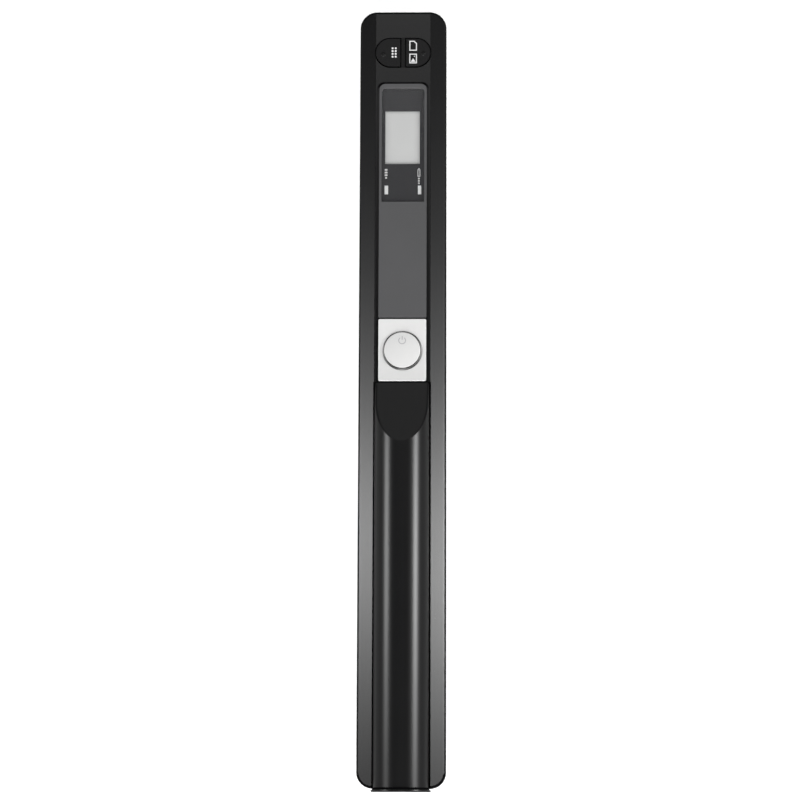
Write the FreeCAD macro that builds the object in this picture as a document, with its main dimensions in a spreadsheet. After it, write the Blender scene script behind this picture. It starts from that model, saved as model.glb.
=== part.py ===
import FreeCAD, Part
import math
import os
import re

# Handheld wand book scanner.  Frame: +X across the body, +Y along it towards the
# display end, +Z up.  Origin: centre of the overall box, on the surface it stands on.
# The glass side faces down, the body rides on four rollers.  Millimetres.

V = FreeCAD.Vector
doc = FreeCAD.newDocument("book_scanner")
sheet = doc.addObject("Spreadsheet::Sheet", "Dims")

DIMS = [
    # casing
    ("body_w", 28.5, "casing width"),
    ("body_l", 256.0, "casing length"),
    ("body_yc", 0.5, "casing centre along Y"),
    ("corner_rad", 5.2, "casing plan corner radius"),
    ("z_bot", 0.8, "underside of the lower case"),
    ("z_part", 6.2, "parting line"),
    ("z_top", 15.6, "top flat of the upper case"),
    ("band_half", 9.05, "half width of the top flat"),
    ("bevel_drop", 2.7, "drop of the long side bevels"),
    ("wall", 1.5, "casing wall"),
    ("edge_rad", 0.5, "outer edge radius of the upper case"),
    ("foot_rad", 1.2, "underside edge radius of the lower case"),
    ("lip_h", 1.0, "tongue height at the parting line"),
    ("lip_t", 0.7, "tongue thickness"),
    # battery channel and cover
    ("chan_half", 9.4, "battery channel half width"),
    ("chan_floor", 11.5, "battery channel floor"),
    ("chan_front", 3.5, "front wall of the battery channel"),
    ("cell_zc", 18.85, "battery axis height"),
    ("cell_rad", 7.2, "battery radius"),
    ("cell_len", 49.2, "battery length without its nub"),
    ("nub_len", 1.3, "battery nub length"),
    ("nub_rad", 2.75, "battery nub radius"),
    ("cell_front", -17.9, "shoulder of the front battery"),
    ("cover_rad", 8.75, "outer radius of the handle cover"),
    ("cover_t", 1.25, "handle cover wall"),
    ("cover_front", 3.15, "front edge of the handle cover"),
    ("cover_back", -127.6, "rear of the handle cover, inside its end flange"),
    ("cover_foot", 11.6, "lower edge of the handle cover"),
    ("slope_z", 15.9, "height of the thumb slope at its front edge"),
    ("slope_run", 20.7, "plan length of the thumb slope"),
    ("flange_out", 0.5, "how far the end flange stands out from the cover"),
    ("flange_end", -128.5, "rear face of the end flange"),
    # display panel
    ("rec_half", 8.55, "half width of the panel recess"),
    ("rec_z", 14.3, "floor of the panel recess"),
    ("rec_back", 104.5, "display end of the panel recess"),
    ("panel_half", 7.85, "label panel half width"),
    ("panel_y0", 24.75, "label panel lower end"),
    ("panel_y1", 103.8, "label panel upper end"),
    ("panel_top", 15.55, "label panel surface"),
    ("win_half", 7.05, "window half width"),
    ("win_y0", 63.7, "window lower end"),
    ("win_y1", 102.2, "window upper end"),
    ("lcd_half", 5.9, "visible display half width"),
    ("lcd_y0", 76.6, "visible display lower end"),
    ("lcd_y1", 94.6, "visible display upper end"),
    ("pipe_y", 67.8, "indicator centre along Y"),
    ("pipe_x", 5.4, "indicator offset from the centre line"),
    # button plate and buttons
    ("plate_half", 7.8, "button plate half width"),
    ("plate_y0", 3.75, "button plate lower end"),
    ("plate_y1", 24.4, "button plate upper end"),
    ("plate_top", 15.85, "button plate surface"),
    ("scan_y", 13.9, "scan button centre"),
    ("scan_hole", 6.45, "scan button hole radius in the plate"),
    ("scan_rad", 6.15, "scan button radius"),
    ("scan_top", 17.1, "scan button top"),
    ("key_y", 114.35, "centre of the two half-oval keys"),
    ("key_half", 9.4, "half length of the oval opening"),
    ("key_rad", 5.15, "end radius of the oval opening"),
    ("key_gap", 0.3, "gap round each key"),
    ("key_top", 15.95, "key top"),
    ("bar_half", 0.65, "half width of the bar between the keys"),
    # boards
    ("pcb_z", 10.6, "underside of the main board"),
    ("pcb_t", 1.0, "main board thickness"),
    ("pcb_half", 12.0, "main board half width"),
    ("pcb_y0", 6.0, "main board lower end"),
    ("pcb_y1", 121.5, "main board upper end"),
    # image sensor
    ("cis_x0", -7.0, "image sensor left face"),
    ("cis_x1", 5.4, "image sensor right face"),
    ("cis_half", 113.4, "image sensor half length"),
    ("cis_top", 8.7, "image sensor top"),
    ("glass_z", 0.5, "glass underside"),
    ("glass_t", 0.9, "glass thickness"),
    # rollers
    ("axle_x", 7.4, "roller axle offset"),
    ("axle_z", 5.0, "roller axle height"),
    ("roller_rad", 5.0, "roller radius"),
    ("roller_y", 121.7, "roller centre from the casing centre"),
    ("roller_w", 6.0, "roller width"),
    ("shaft_rad", 1.0, "drive shaft radius"),
    ("pin_rad", 0.8, "support roller pin radius"),
    ("gear_mod", 0.3, "gear module"),
    ("drive_teeth", 20, "teeth of the drive gear"),
    ("enc_teeth", 10, "teeth of the encoder pinion"),
    ("gear_y", 115.5, "gear plane from the casing centre"),
    ("gear_w", 1.2, "gear face width"),
    ("disc_rad", 3.2, "encoder disc radius"),
    ("disc_y", 117.45, "encoder disc plane from the casing centre"),
    # fasteners
    ("boss_y", 103.5, "case screw spacing from the casing centre"),
    ("boss_mid", -2.5, "middle case screws from the casing centre"),
    ("boss_xl", -10.4, "left case screws"),
    ("boss_xr", 10.6, "right case screws"),
    ("boss_rad", 1.9, "screw boss radius"),
    # ports in the right-hand side
    ("usb_y", 44.0, "data socket centre"),
    ("card_y", 64.0, "memory card centre"),
    ("pin_ya", 29.5, "first recessed pin button"),
    ("pin_yb", 34.5, "second recessed pin button"),
    ("pin_zc", 8.9, "recessed pin button height"),
]
D = {}
for i, (alias, value, why) in enumerate(DIMS, start=1):
    sheet.set("A%d" % i, why)
    sheet.set("B%d" % i, repr(value))
    sheet.setAlias("B%d" % i, alias)
    D[alias] = float(value)
doc.recompute()

NAMES = sorted(D, key=len, reverse=True)
PATTERN = re.compile(r"\b(" + "|".join(NAMES) + r")\b")


def ex(e):
    """An expression on the sheet's aliases as FreeCAD writes it."""
    return PATTERN.sub(r"Dims.\1", str(e))


def num(e):
    """The number an expression gives: only sums, products and the sheet's aliases."""
    if isinstance(e, (int, float)):
        return float(e)
    text = PATTERN.sub(lambda m: repr(D[m.group(1)]), str(e))
    return float(FreeCAD.Units.Quantity(text).Value)


def bind(obj, **props):
    for prop, e in props.items():
        obj.setExpression(prop.replace("__", "."), ex(e))


def place(obj, x, y, z, rot=None):
    obj.Placement = FreeCAD.Placement(V(num(x), num(y), num(z)), rot or FreeCAD.Rotation())
    for axis, e in (("x", x), ("y", y), ("z", z)):
        obj.setExpression(".Placement.Base." + axis, ex(e))


def box(name, x0, x1, y0, y1, z0, z1):
    o = doc.addObject("Part::Box", name)
    bind(o, Length="(%s)-(%s)" % (x1, x0), Width="(%s)-(%s)" % (y1, y0), Height="(%s)-(%s)" % (z1, z0))
    place(o, x0, y0, z0)
    return o


ROT = {
    "z": FreeCAD.Rotation(),
    "y": FreeCAD.Rotation(V(1, 0, 0), -90),
    "x": FreeCAD.Rotation(V(0, 1, 0), 90),
}


def cyl(name, axis, x, y, z, r, h):
    """A cylinder from (x, y, z) along +axis."""
    o = doc.addObject("Part::Cylinder", name)
    bind(o, Radius=r, Height=h)
    place(o, x, y, z, ROT[axis])
    return o


def fuse(name, *parts):
    o = doc.addObject("Part::MultiFuse", name)
    o.Shapes = list(parts)
    o.Refine = True
    return o


def cut(name, base, *tools):
    o = doc.addObject("Part::Cut", name)
    o.Base = base
    o.Tool = tools[0] if len(tools) == 1 else fuse(name + "_tools", *tools)
    o.Refine = True
    return o


def common(name, a, b):
    o = doc.addObject("Part::MultiCommon", name)
    o.Shapes = [a, b]
    o.Refine = True
    return o


def new_body(name):
    return doc.addObject("PartDesign::Body", name)


def sketch(body, role, name, off=(0, 0, 0)):
    sk = body.newObject("Sketcher::SketchObject", name)
    plane = [f for f in body.Origin.OriginFeatures if f.Role == role][0]
    sk.AttachmentSupport = [(plane, "")]
    sk.MapMode = "FlatFace"
    sk.AttachmentOffset = FreeCAD.Placement(V(*[num(c) for c in off]), FreeCAD.Rotation())
    for axis, e in zip("xyz", off):
        sk.setExpression(".AttachmentOffset.Base." + axis, ex(e))
    return sk


import Sketcher

C = Sketcher.Constraint


def tie(sk, kind, args, e, name):
    """A named dimension of a sketch, bound to the sheet."""
    k = sk.addConstraint(C(kind, *args, num(e)))
    sk.renameConstraint(k, name)
    sk.setExpression("Constraints." + name, ex(e))


def poly(sk, pts):
    n = len(pts)
    p = [V(num(a), num(b), 0) for a, b in pts]
    first = sk.GeometryCount
    for i in range(n):
        sk.addGeometry(Part.LineSegment(p[i], p[(i + 1) % n]), False)
    for i in range(n):
        sk.addConstraint(C("Coincident", first + i, 2, first + (i + 1) % n, 1))
    for i, (a, b) in enumerate(pts):
        tie(sk, "DistanceX", (-1, 1, first + i, 1), a, "px%d" % (first + i))
        tie(sk, "DistanceY", (-1, 1, first + i, 1), b, "py%d" % (first + i))


def circle(sk, r, name="rad", x=0, y=0):
    g = sk.addGeometry(Part.Circle(V(num(x), num(y), 0), V(0, 0, 1), num(r)), False)
    tie(sk, "Radius", (g,), r, name)
    tie(sk, "DistanceX", (-1, 1, g, 3), x, name + "_x")
    tie(sk, "DistanceY", (-1, 1, g, 3), y, name + "_y")


def pad(body, sk, length, name, rev=False):
    p = body.newObject("PartDesign::Pad", name)
    p.Profile = sk
    p.setExpression("Length", ex(length))
    p.Reversed = rev
    sk.Visibility = False
    return p


def pocket(body, sk, length, name, rev=False):
    p = body.newObject("PartDesign::Pocket", name)
    p.Profile = sk
    p.setExpression("Length", ex(length))
    p.Reversed = rev
    return p


def round_edges(body, feat, radius, pick, name, kind="PartDesign::Fillet"):
    """Rounds (or chamfers) the edges of feat that pick() accepts."""
    doc.recompute()
    names = ["Edge%d" % (i + 1) for i, e in enumerate(feat.Shape.Edges) if pick(e)]
    if not names:
        raise RuntimeError("no edges picked for " + name)
    f = body.newObject(kind, name)
    f.Base = (feat, names)
    f.setExpression("Radius" if kind.endswith("Fillet") else "Size", ex(radius))
    return f


def is_vertical(e):
    b = e.BoundBox
    return b.XLength < 1e-6 and b.YLength < 1e-6 and b.ZLength > 1e-6


def plan_prism(name, w, length, r, z0, z1, yc="body_yc"):
    """A rounded rectangle in plan, from z0 to z1."""
    b = new_body(name)
    sk = sketch(b, "XY_Plane", name + "_sk", (0, yc, z0))
    w2, l2 = "(%s)/2" % w, "(%s)/2" % length
    poly(sk, [("-" + w2, "-" + l2), (w2, "-" + l2), (w2, l2), ("-" + w2, l2)])
    p = pad(b, sk, "(%s)-(%s)" % (z1, z0), name + "_pad")
    if r is not None:
        round_edges(b, p, r, is_vertical, name + "_round")
    return b


def section_xz(name, pts, y0, y1):
    """A polygon in X and Z, from y0 to y1."""
    b = new_body(name)
    sk = sketch(b, "XZ_Plane", name + "_sk", (0, 0, "-(%s)" % y1))
    poly(sk, pts)
    pad(b, sk, "(%s)-(%s)" % (y1, y0), name + "_pad")
    return b


def section_yz(name, pts, x0, x1):
    """A polygon in Y and Z, from x0 to x1."""
    b = new_body(name)
    sk = sketch(b, "YZ_Plane", name + "_sk", (0, 0, x0))
    poly(sk, pts)
    pad(b, sk, "(%s)-(%s)" % (x1, x0), name + "_pad")
    return b


def arch(name, r, zc, z0, y0, y1):
    """A half-round arch on straight legs, in X and Z, from y0 to y1."""
    b = new_body(name)
    sk = sketch(b, "XZ_Plane", name + "_sk", (0, 0, "-(%s)" % y1))
    R, ZC, Z0 = num(r), num(zc), num(z0)
    sk.addGeometry(Part.LineSegment(V(-R, Z0, 0), V(-R, ZC, 0)), False)
    sk.addGeometry(Part.ArcOfCircle(Part.Circle(V(0, ZC, 0), V(0, 0, 1), R), 0, math.pi), False)
    sk.addGeometry(Part.LineSegment(V(R, ZC, 0), V(R, Z0, 0)), False)
    sk.addGeometry(Part.LineSegment(V(R, Z0, 0), V(-R, Z0, 0)), False)
    sk.addConstraint(C("Coincident", 0, 2, 1, 2))
    sk.addConstraint(C("Coincident", 1, 1, 2, 1))
    sk.addConstraint(C("Coincident", 2, 2, 3, 1))
    sk.addConstraint(C("Coincident", 3, 2, 0, 1))
    sk.addConstraint(C("Vertical", 0))
    sk.addConstraint(C("Vertical", 2))
    sk.addConstraint(C("Horizontal", 3))
    sk.addConstraint(C("PointOnObject", 1, 3, -2))
    sk.addConstraint(C("Horizontal", 1, 3, 1, 2))
    sk.addConstraint(C("Horizontal", 1, 3, 1, 1))
    tie(sk, "DistanceY", (-1, 1, 1, 3), zc, "arch_z")
    tie(sk, "Radius", (1,), r, "arch_rad")
    tie(sk, "DistanceY", (-1, 1, 3, 1), z0, "foot_z")
    pad(b, sk, "(%s)-(%s)" % (y1, y0), name + "_pad")
    return b


def turned(name, role, pts, at):
    """A solid turned about the sketch's vertical axis at the given point of the plane.
    pts are (radius, height) pairs; role XZ_Plane turns about a Z line."""
    b = new_body(name)
    sk = sketch(b, role, name + "_sk", (0, 0, 0))
    poly(sk, pts)
    r = b.newObject("PartDesign::Revolution", name + "_rev")
    r.Profile = sk
    r.ReferenceAxis = (sk, ["V_Axis"])
    r.Angle = 360
    return b


parts = {}


def finish_part(label, obj):
    obj.Label = label
    parts[label] = obj


def raw(label, shape):
    """A piece whose shape comes from Part's own functions, sized from the sheet."""
    o = doc.addObject("Part::Feature", label + "_feature")
    o.Shape = shape
    finish_part(label, o)
    return o


# ---------------------------------------------------------------- upper case
xo = "body_w/2"
xi = "body_w/2-wall"
y_end0 = "body_yc-body_l/2"
y_end1 = "body_yc+body_l/2"
outer_plan = plan_prism("uc_plan", "body_w", "body_l", "corner_rad", "z_part", "z_top")
outer_sec = section_xz(
    "uc_sec",
    [("-(body_w/2)", "z_part"), ("body_w/2", "z_part"), ("body_w/2", "z_top-bevel_drop"), ("band_half", "z_top"), ("-band_half", "z_top"), ("-(body_w/2)", "z_top-bevel_drop")],
    y_end0 + "-1",
    y_end1 + "+1",
)
uc_outer = common("uc_outer", outer_plan, outer_sec)
doc.recompute()


def top_perimeter(e):
    """The lower edge of each bevel with its run round the plan corners."""
    b = e.BoundBox
    on_end = (abs(b.YMin - b.YMax) < 1e-6 and (abs(b.YMax - num(y_end1)) < 1e-4 or abs(b.YMin - num(y_end0)) < 1e-4))
    low = b.ZMax < D["z_top"] - D["bevel_drop"] - 0.5
    if low or on_end or is_vertical(e):
        return False
    on_side = abs(abs(b.Center.x) - D["body_w"] / 2) < 1e-4 and b.XLength < 1e-4
    curved = e.Curve.TypeId not in ("Part::GeomLine",)
    return on_side or curved


uc_soft = doc.addObject("Part::Fillet", "uc_soft")
doc.recompute()
uc_soft.Base = uc_outer
uc_soft.Edges = [(i + 1, D["edge_rad"], D["edge_rad"]) for i, e in enumerate(uc_outer.Shape.Edges) if top_perimeter(e)]
uc_outer.Visibility = False
end_profile = section_yz(
    "uc_ends",
    [(y_end0, "z_part-1"), (y_end1, "z_part-1"), (y_end1, "z_top-0.35"), (y_end1 + "-0.35", "z_top"), (y_end0 + "+0.35", "z_top"), (y_end0, "z_top-0.35")],
    "-(body_w/2)-1",
    "body_w/2+1",
)
uc_skin = common("uc_skin", uc_soft, end_profile)
inner_plan = plan_prism("uc_inplan", "body_w-2*wall", "body_l-2*wall", "corner_rad-wall", "z_part-1", "z_top-wall")
inner_sec = section_xz(
    "uc_insec",
    [("-(body_w/2-wall)", "z_part-1"), ("body_w/2-wall", "z_part-1"), ("body_w/2-wall", "z_top-wall-bevel_drop*0.8"), ("band_half-0.5", "z_top-wall"), ("-(band_half-0.5)", "z_top-wall"), ("-(body_w/2-wall)", "z_top-wall-bevel_drop*0.8")],
    y_end0,
    y_end1,
)
uc_inner = common("uc_inner", inner_plan, inner_sec)
uc_shell = cut("uc_shell", uc_skin, uc_inner)

# battery channel, thickened panel floor and screw bosses hang inside the shell
chan_block = box("uc_chan", "-(chan_half+1.1)", "chan_half+1.1", y_end0 + "+0.4", "chan_front+1.3", "chan_floor-1.2", "z_top-1.3")
chan_block_in = common("uc_chan_in", chan_block, plan_prism("uc_chanplan", "body_w-2*wall+0.2", "body_l-0.8", "corner_rad-wall", "z_part", "z_top-0.4"))
floor_block = box("uc_floor", "-(band_half-0.2)", "band_half-0.2", "chan_front+0.2", "rec_back+1.6", "rec_z-1.1", "rec_z+0.4")
bosses = []
for k, (bx, by) in enumerate([("boss_xl", "body_yc+boss_y"), ("boss_xr", "body_yc+boss_y"), ("boss_xl", "body_yc+boss_mid"), ("boss_xr", "body_yc+boss_mid"), ("boss_xl", "body_yc-boss_y"), ("boss_xr", "body_yc-boss_y")]):
    bosses.append(cyl("uc_boss%d" % k, "z", bx, by, "z_bot+wall+0.2", "boss_rad", "13.6-(z_bot+wall+0.2)" if "mid" not in by and "-boss_y" not in by else "12.4-(z_bot+wall+0.2)"))
board_boss = []
for k, (bx, by) in enumerate([("-10.1", "36"), ("-10.1", "88"), ("10.1", "88")]):
    board_boss.append(cyl("uc_bb%d" % k, "z", bx, by, "pcb_z+pcb_t", "1.7", "2.2"))
uc_full = fuse("uc_full", uc_shell, chan_block_in, floor_block, *bosses, *board_boss)

channel = box("uc_channel", "-chan_half", "chan_half", y_end0 + "-1", "chan_front", "chan_floor", "z_top+1")
recess_plain = box("uc_recess", "-rec_half", "rec_half", "chan_front-0.1", "rec_back", "rec_z", "z_top+1")
keys_out = [
    cyl("uc_key_l", "z", "-(key_half-key_rad)", "key_y", "z_top-4", "key_rad", "5"),
    cyl("uc_key_r", "z", "key_half-key_rad", "key_y", "z_top-4", "key_rad", "5"),
    box("uc_key_m", "-(key_half-key_rad)", "key_half-key_rad", "key_y-key_rad", "key_y+key_rad", "z_top-4", "z_top+1"),
]
key_oval = fuse("uc_key_oval", *keys_out)
key_bar = box("uc_key_bar", "-bar_half", "bar_half", "key_y-key_rad-1", "key_y+key_rad+1", "z_top-wall", "z_top+1")
key_open = cut("uc_key_open", key_oval, key_bar)
lcd_open = box("uc_lcd_open", "-7.2", "7.2", "71.9", "99.6", "rec_z-2", "rec_z+1")
pipe_open = [box("uc_pipe%d" % k, "%s-1.0" % x, "%s+1.0" % x, "pipe_y-1.9", "pipe_y+1.9", "rec_z-2", "rec_z+1") for k, x in enumerate(["-pipe_x", "pipe_x"])]
scan_open = cyl("uc_scan_open", "z", "0", "scan_y", "rec_z-2", "3.0", "4")
usb_open = box("uc_usb_open", xi + "-0.5", xo + "+1", "usb_y-3.95", "usb_y+3.95", "pcb_z-4.0", "pcb_z-0.0")
card_open = box("uc_card_open", xi + "-0.5", xo + "+1", "card_y-5.8", "card_y+5.8", "pcb_z-1.35", "pcb_z-0.2")
pin_open = [cyl("uc_pin%d" % k, "x", xi + "-0.5", y, "pin_zc", "1.15", "wall+2") for k, y in enumerate(["pin_ya", "pin_yb"])]
pilot = []
for k, (bx, by) in enumerate([("boss_xl", "body_yc+boss_y"), ("boss_xr", "body_yc+boss_y"), ("boss_xl", "body_yc+boss_mid"), ("boss_xr", "body_yc+boss_mid"), ("boss_xl", "body_yc-boss_y"), ("boss_xr", "body_yc-boss_y")]):
    pilot.append(cyl("uc_pilot%d" % k, "z", bx, by, "z_bot", "1.0", "8.4"))
for k, (bx, by) in enumerate([("-10.1", "36"), ("-10.1", "88"), ("10.1", "88")]):
    pilot.append(cyl("uc_bpilot%d" % k, "z", bx, by, "pcb_z", "0.65", "2.3"))
rebate_all = plan_prism("uc_rebate", "body_w-2*wall+2*lip_t+0.2", "body_l-2*wall+2*lip_t+0.2", "corner_rad-wall+lip_t", "z_part-0.5", "z_part+lip_h+0.1")
rebate_core = plan_prism("uc_rebcore", "body_w-2*wall-0.02", "body_l-2*wall-0.02", "corner_rad-wall", "z_part-1", "z_part+lip_h+0.5")
rebate_out = cut("uc_rebring", rebate_all, rebate_core)
lead_holes = [
    box("uc_lead0", "-5.1", "-2.9", "cell_front-2*cell_len-nub_len-6.4", "cell_front-2*cell_len-nub_len-5.4", "chan_floor-3", "chan_floor+1"),
    box("uc_lead1", "0.9", "3.1", "cell_front+nub_len-0.1", "cell_front+nub_len+0.5", "chan_floor-3", "chan_floor+1"),
]
uc_cut = cut("uc_cut", uc_full, channel, recess_plain, key_open, lcd_open, *pipe_open, scan_open, usb_open, card_open, *pin_open, *pilot, rebate_out, *lead_holes)


def bulkhead(name, y0, y1, top):
    b = arch(name + "_arch", "6.7", "cell_zc", "chan_floor-0.5", y0, y1)
    lid = box(name + "_lim", "-8", "8", y0 + "-1", y1 + "+1", "chan_floor-0.5", top)
    return common(name, b, lid)


front_bulk = bulkhead("uc_bulk_f", "cell_front+nub_len+0.5", "cell_front+nub_len+1.7", "23.9")
rear_bulk = bulkhead("uc_bulk_r", "cell_front-2*cell_len-nub_len-7.6", "cell_front-2*cell_len-nub_len-6.4", "24.5")
cradles = []
for k, yy in enumerate(["cell_front-14", "cell_front-36", "cell_front-nub_len-cell_len-14", "cell_front-nub_len-cell_len-36"]):
    rib = box("uc_rib%d" % k, "-6.4", "6.4", yy + "-0.7", yy + "+0.7", "chan_floor-0.5", "chan_floor+2.2")
    rib_cut = cut("uc_ribc%d" % k, rib, cyl("uc_ribr%d" % k, "y", "0", yy + "-2", "cell_zc", "cell_rad+0.1", "4"))
    cradles.append(rib_cut)
upper = fuse("upper_case_solid", uc_cut, front_bulk, rear_bulk, *cradles)
finish_part("upper_case", upper)

# ---------------------------------------------------------------- lower case
lo_plan = plan_prism("lc_plan", "body_w", "body_l", "corner_rad", "z_bot", "z_part")
doc.recompute()
lo_tip = lo_plan.Tip


def bottom_rim(e):
    b = e.BoundBox
    return abs(b.ZMax - D["z_bot"]) < 1e-5


round_edges(lo_plan, lo_tip, "foot_rad", bottom_rim, "lc_foot")
lo_in = plan_prism("lc_in", "body_w-2*wall", "body_l-2*wall", "corner_rad-wall", "z_bot+wall", "z_part+3")
lip_out = plan_prism("lc_lip", "body_w-2*wall+2*lip_t", "body_l-2*wall+2*lip_t", "corner_rad-wall+lip_t", "z_part-1", "z_part+lip_h")
lo_shell = cut("lc_shell", fuse("lc_all", lo_plan, lip_out), lo_in)
posts = []
for s, sign in (("p", "+"), ("m", "-")):
    ysgn = "body_yc%s" % sign
    def yr(a, b, sign=sign):
        return ("body_yc+%s" % a, "body_yc+%s" % b) if sign == "+" else ("body_yc-%s" % b, "body_yc-%s" % a)
    a, b = yr("124.9", "126.8")
    posts.append(box("lc_post_d" + s, "axle_x-2.7", "axle_x+2.7", a, b, "z_bot+0.5", "axle_z+0.9"))
    posts.append(box("lc_post_s" + s, "-axle_x-2.0", "-axle_x+2.0", a, b, "z_bot+0.5", "axle_z+0.9"))
    a, b = yr("117.0", "118.3")
    posts.append(box("lc_post_i" + s, "-axle_x-2.0", "-axle_x+2.0", a, b, "z_bot+0.5", "axle_z+0.9"))
    a, b = yr("107.6", "108.8")
    posts.append(box("lc_post_m" + s, "axle_x-1.8", "axle_x+1.8", a, b, "z_bot+0.5", "axle_z+0.9"))
posts.append(box("lc_post_c", "axle_x-1.8", "axle_x+1.8", "body_yc-0.7+12", "body_yc+0.7+12", "z_bot+0.5", "axle_z+0.9"))
# post for the encoder wheel's pin, at the display end
enc_dx = -math.cos(math.radians(20)) * D["gear_mod"] * (D["drive_teeth"] + D["enc_teeth"]) / 2
enc_dz = math.sin(math.radians(20)) * D["gear_mod"] * (D["drive_teeth"] + D["enc_teeth"]) / 2
ENC_X = "axle_x-cos(20 deg)*gear_mod*(drive_teeth+enc_teeth)/2"
ENC_Z = "axle_z+sin(20 deg)*gear_mod*(drive_teeth+enc_teeth)/2"


def num2(e):
    if e == ENC_X:
        return D["axle_x"] + enc_dx
    if e == ENC_Z:
        return D["axle_z"] + enc_dz
    return num(e)


enc_x, enc_z = D["axle_x"] + enc_dx, D["axle_z"] + enc_dz
posts.append(box("lc_post_e", "1.4", "4.9", "body_yc+cis_half+0.25", "body_yc+114.45", "z_bot+0.5", "9.3"))
lo_full = fuse("lc_full", lo_shell, *posts)
lo_tools = [box("lc_window", "cis_x0+0.4", "cis_x1-0.4", "body_yc-cis_half+0.9-0.3", "body_yc+cis_half-0.9+0.3", "z_bot-1", "z_bot+wall+1")]
for s, sign in (("p", "+"), ("m", "-")):
    yc = "body_yc%sroller_y" % sign
    lo_tools.append(box("lc_slot_d" + s, "axle_x-4.75", "axle_x+4.75", yc + "-roller_w/2-0.35", yc + "+roller_w/2+0.2", "z_bot-1", "z_bot+wall+0.5") if sign == "+" else box("lc_slot_d" + s, "axle_x-4.75", "axle_x+4.75", yc + "-roller_w/2-0.2", yc + "+roller_w/2+0.35", "z_bot-1", "z_bot+wall+0.5"))
    lo_tools.append(box("lc_slot_s" + s, "-axle_x-4.75", "-axle_x+4.75", yc + "-roller_w/2-0.2", yc + "+roller_w/2+0.2", "z_bot-1", "z_bot+wall+0.5"))
# half-round seats, open upwards
lo_tools.append(cyl("lc_seat_dp", "y", "axle_x", "body_yc+124.8", "axle_z", "1.95", "1.75"))
lo_tools.append(box("lc_seatb_dp", "axle_x-1.95", "axle_x+1.95", "body_yc+124.8", "body_yc+126.55", "axle_z", "axle_z+3"))
lo_tools.append(cyl("lc_seat_dm", "y", "axle_x", "body_yc-126.55", "axle_z", "1.95", "1.75"))
lo_tools.append(box("lc_seatb_dm", "axle_x-1.95", "axle_x+1.95", "body_yc-126.55", "body_yc-124.8", "axle_z", "axle_z+3"))
for s, a, b in (("p", "body_yc+116.9", "9.5"), ("m", "body_yc-126.4", "9.5")):
    lo_tools.append(cyl("lc_seat_s" + s, "y", "-axle_x", a, "axle_z", "pin_rad+0.02", b))
    lo_tools.append(box("lc_seatb_s" + s, "-axle_x-pin_rad-0.02", "-axle_x+pin_rad+0.02", a, a + "+" + b, "axle_z", "axle_z+3"))
lo_tools.append(cyl("lc_steady", "y", "axle_x", "body_yc-110", "axle_z", "shaft_rad+0.1", "220"))
lo_tools.append(box("lc_steadyb", "axle_x-shaft_rad-0.1", "axle_x+shaft_rad+0.1", "body_yc-110", "body_yc+110", "axle_z", "axle_z+3"))
lo_tools.append(box("lc_gearpocket", "axle_x-3.7", "axle_x+3.7", "body_yc+gear_y-gear_w/2-0.4", "body_yc+gear_y+gear_w/2+0.4", "z_bot+0.5", "z_bot+wall+1"))
enc_hole = cyl("lc_enc_hole", "y", "0", "body_yc+113", "0", "0.52", "2.5")
for axis, e in (("x", ENC_X), ("z", ENC_Z)):
    enc_hole.setExpression(".Placement.Base." + axis, ex(e))
lo_tools.append(enc_hole)
for k, (bx, by) in enumerate([("boss_xl", "body_yc+boss_y"), ("boss_xr", "body_yc+boss_y"), ("boss_xl", "body_yc+boss_mid"), ("boss_xr", "body_yc+boss_mid"), ("boss_xl", "body_yc-boss_y"), ("boss_xr", "body_yc-boss_y")]):
    lo_tools.append(cyl("lc_hole%d" % k, "z", bx, by, "z_bot-1", "1.15", "5"))
    lo_tools.append(cyl("lc_cbore%d" % k, "z", bx, by, "z_bot-1", "2.1", "1.85"))
lo_tools.append(box("lc_lip_usb", xi + "-0.5", xo + "-0.2", "usb_y-4.6", "usb_y+4.6", "z_part", "z_part+lip_h+1"))
lower = cut("lower_case_solid", lo_full, *lo_tools)
finish_part("lower_case", lower)

# ---------------------------------------------------------------- battery cover
shoulder = "cell_front"
cv_out = arch("cv_out", "cover_rad", "cell_zc", "cover_foot", "flange_end+0.4", "cover_front")
cv_in = arch("cv_in", "cover_rad-cover_t", "cell_zc", "cover_foot-1", "cover_back+0.5", "cover_front-0.01")
slope_end = "cover_front-slope_run"
crown = "cell_zc+cover_rad"
cv_slope_out = section_yz(
    "cv_so",
    [("flange_end-1", "cover_foot-2"), ("cover_front", "cover_foot-2"), ("cover_front", "slope_z"), (slope_end, crown), ("flange_end-1", crown + "+3")],
    "-12",
    "12",
)
cv_slope_in = section_yz(
    "cv_si",
    [("flange_end-1", "cover_foot-3"), ("cover_front-1.25", "cover_foot-3"), ("cover_front-1.25", "slope_z-cover_t*0.6"), (slope_end + "-0.3", crown + "-cover_t-0.1"), ("flange_end-1", crown + "+3")],
    "-12",
    "12",
)
cv_body = cut("cv_body", common("cv_solid", cv_out, cv_slope_out), common("cv_void", cv_in, cv_slope_in))
cv_flange = arch("cv_flange", "cover_rad+flange_out", "cell_zc", "cover_foot", "flange_end", "cover_back")
cover = fuse("battery_cover_solid", cv_body, cv_flange)
finish_part("battery_cover", cover)

# ---------------------------------------------------------------- batteries and contacts
def battery(label, front):
    can = cyl(label + "_can", "y", "0", front + "-cell_len", "cell_zc", "cell_rad", "cell_len")
    nub = cyl(label + "_nub", "y", "0", front, "cell_zc", "nub_rad", "nub_len")
    o = fuse(label + "_solid", can, nub)
    finish_part(label, o)


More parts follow.
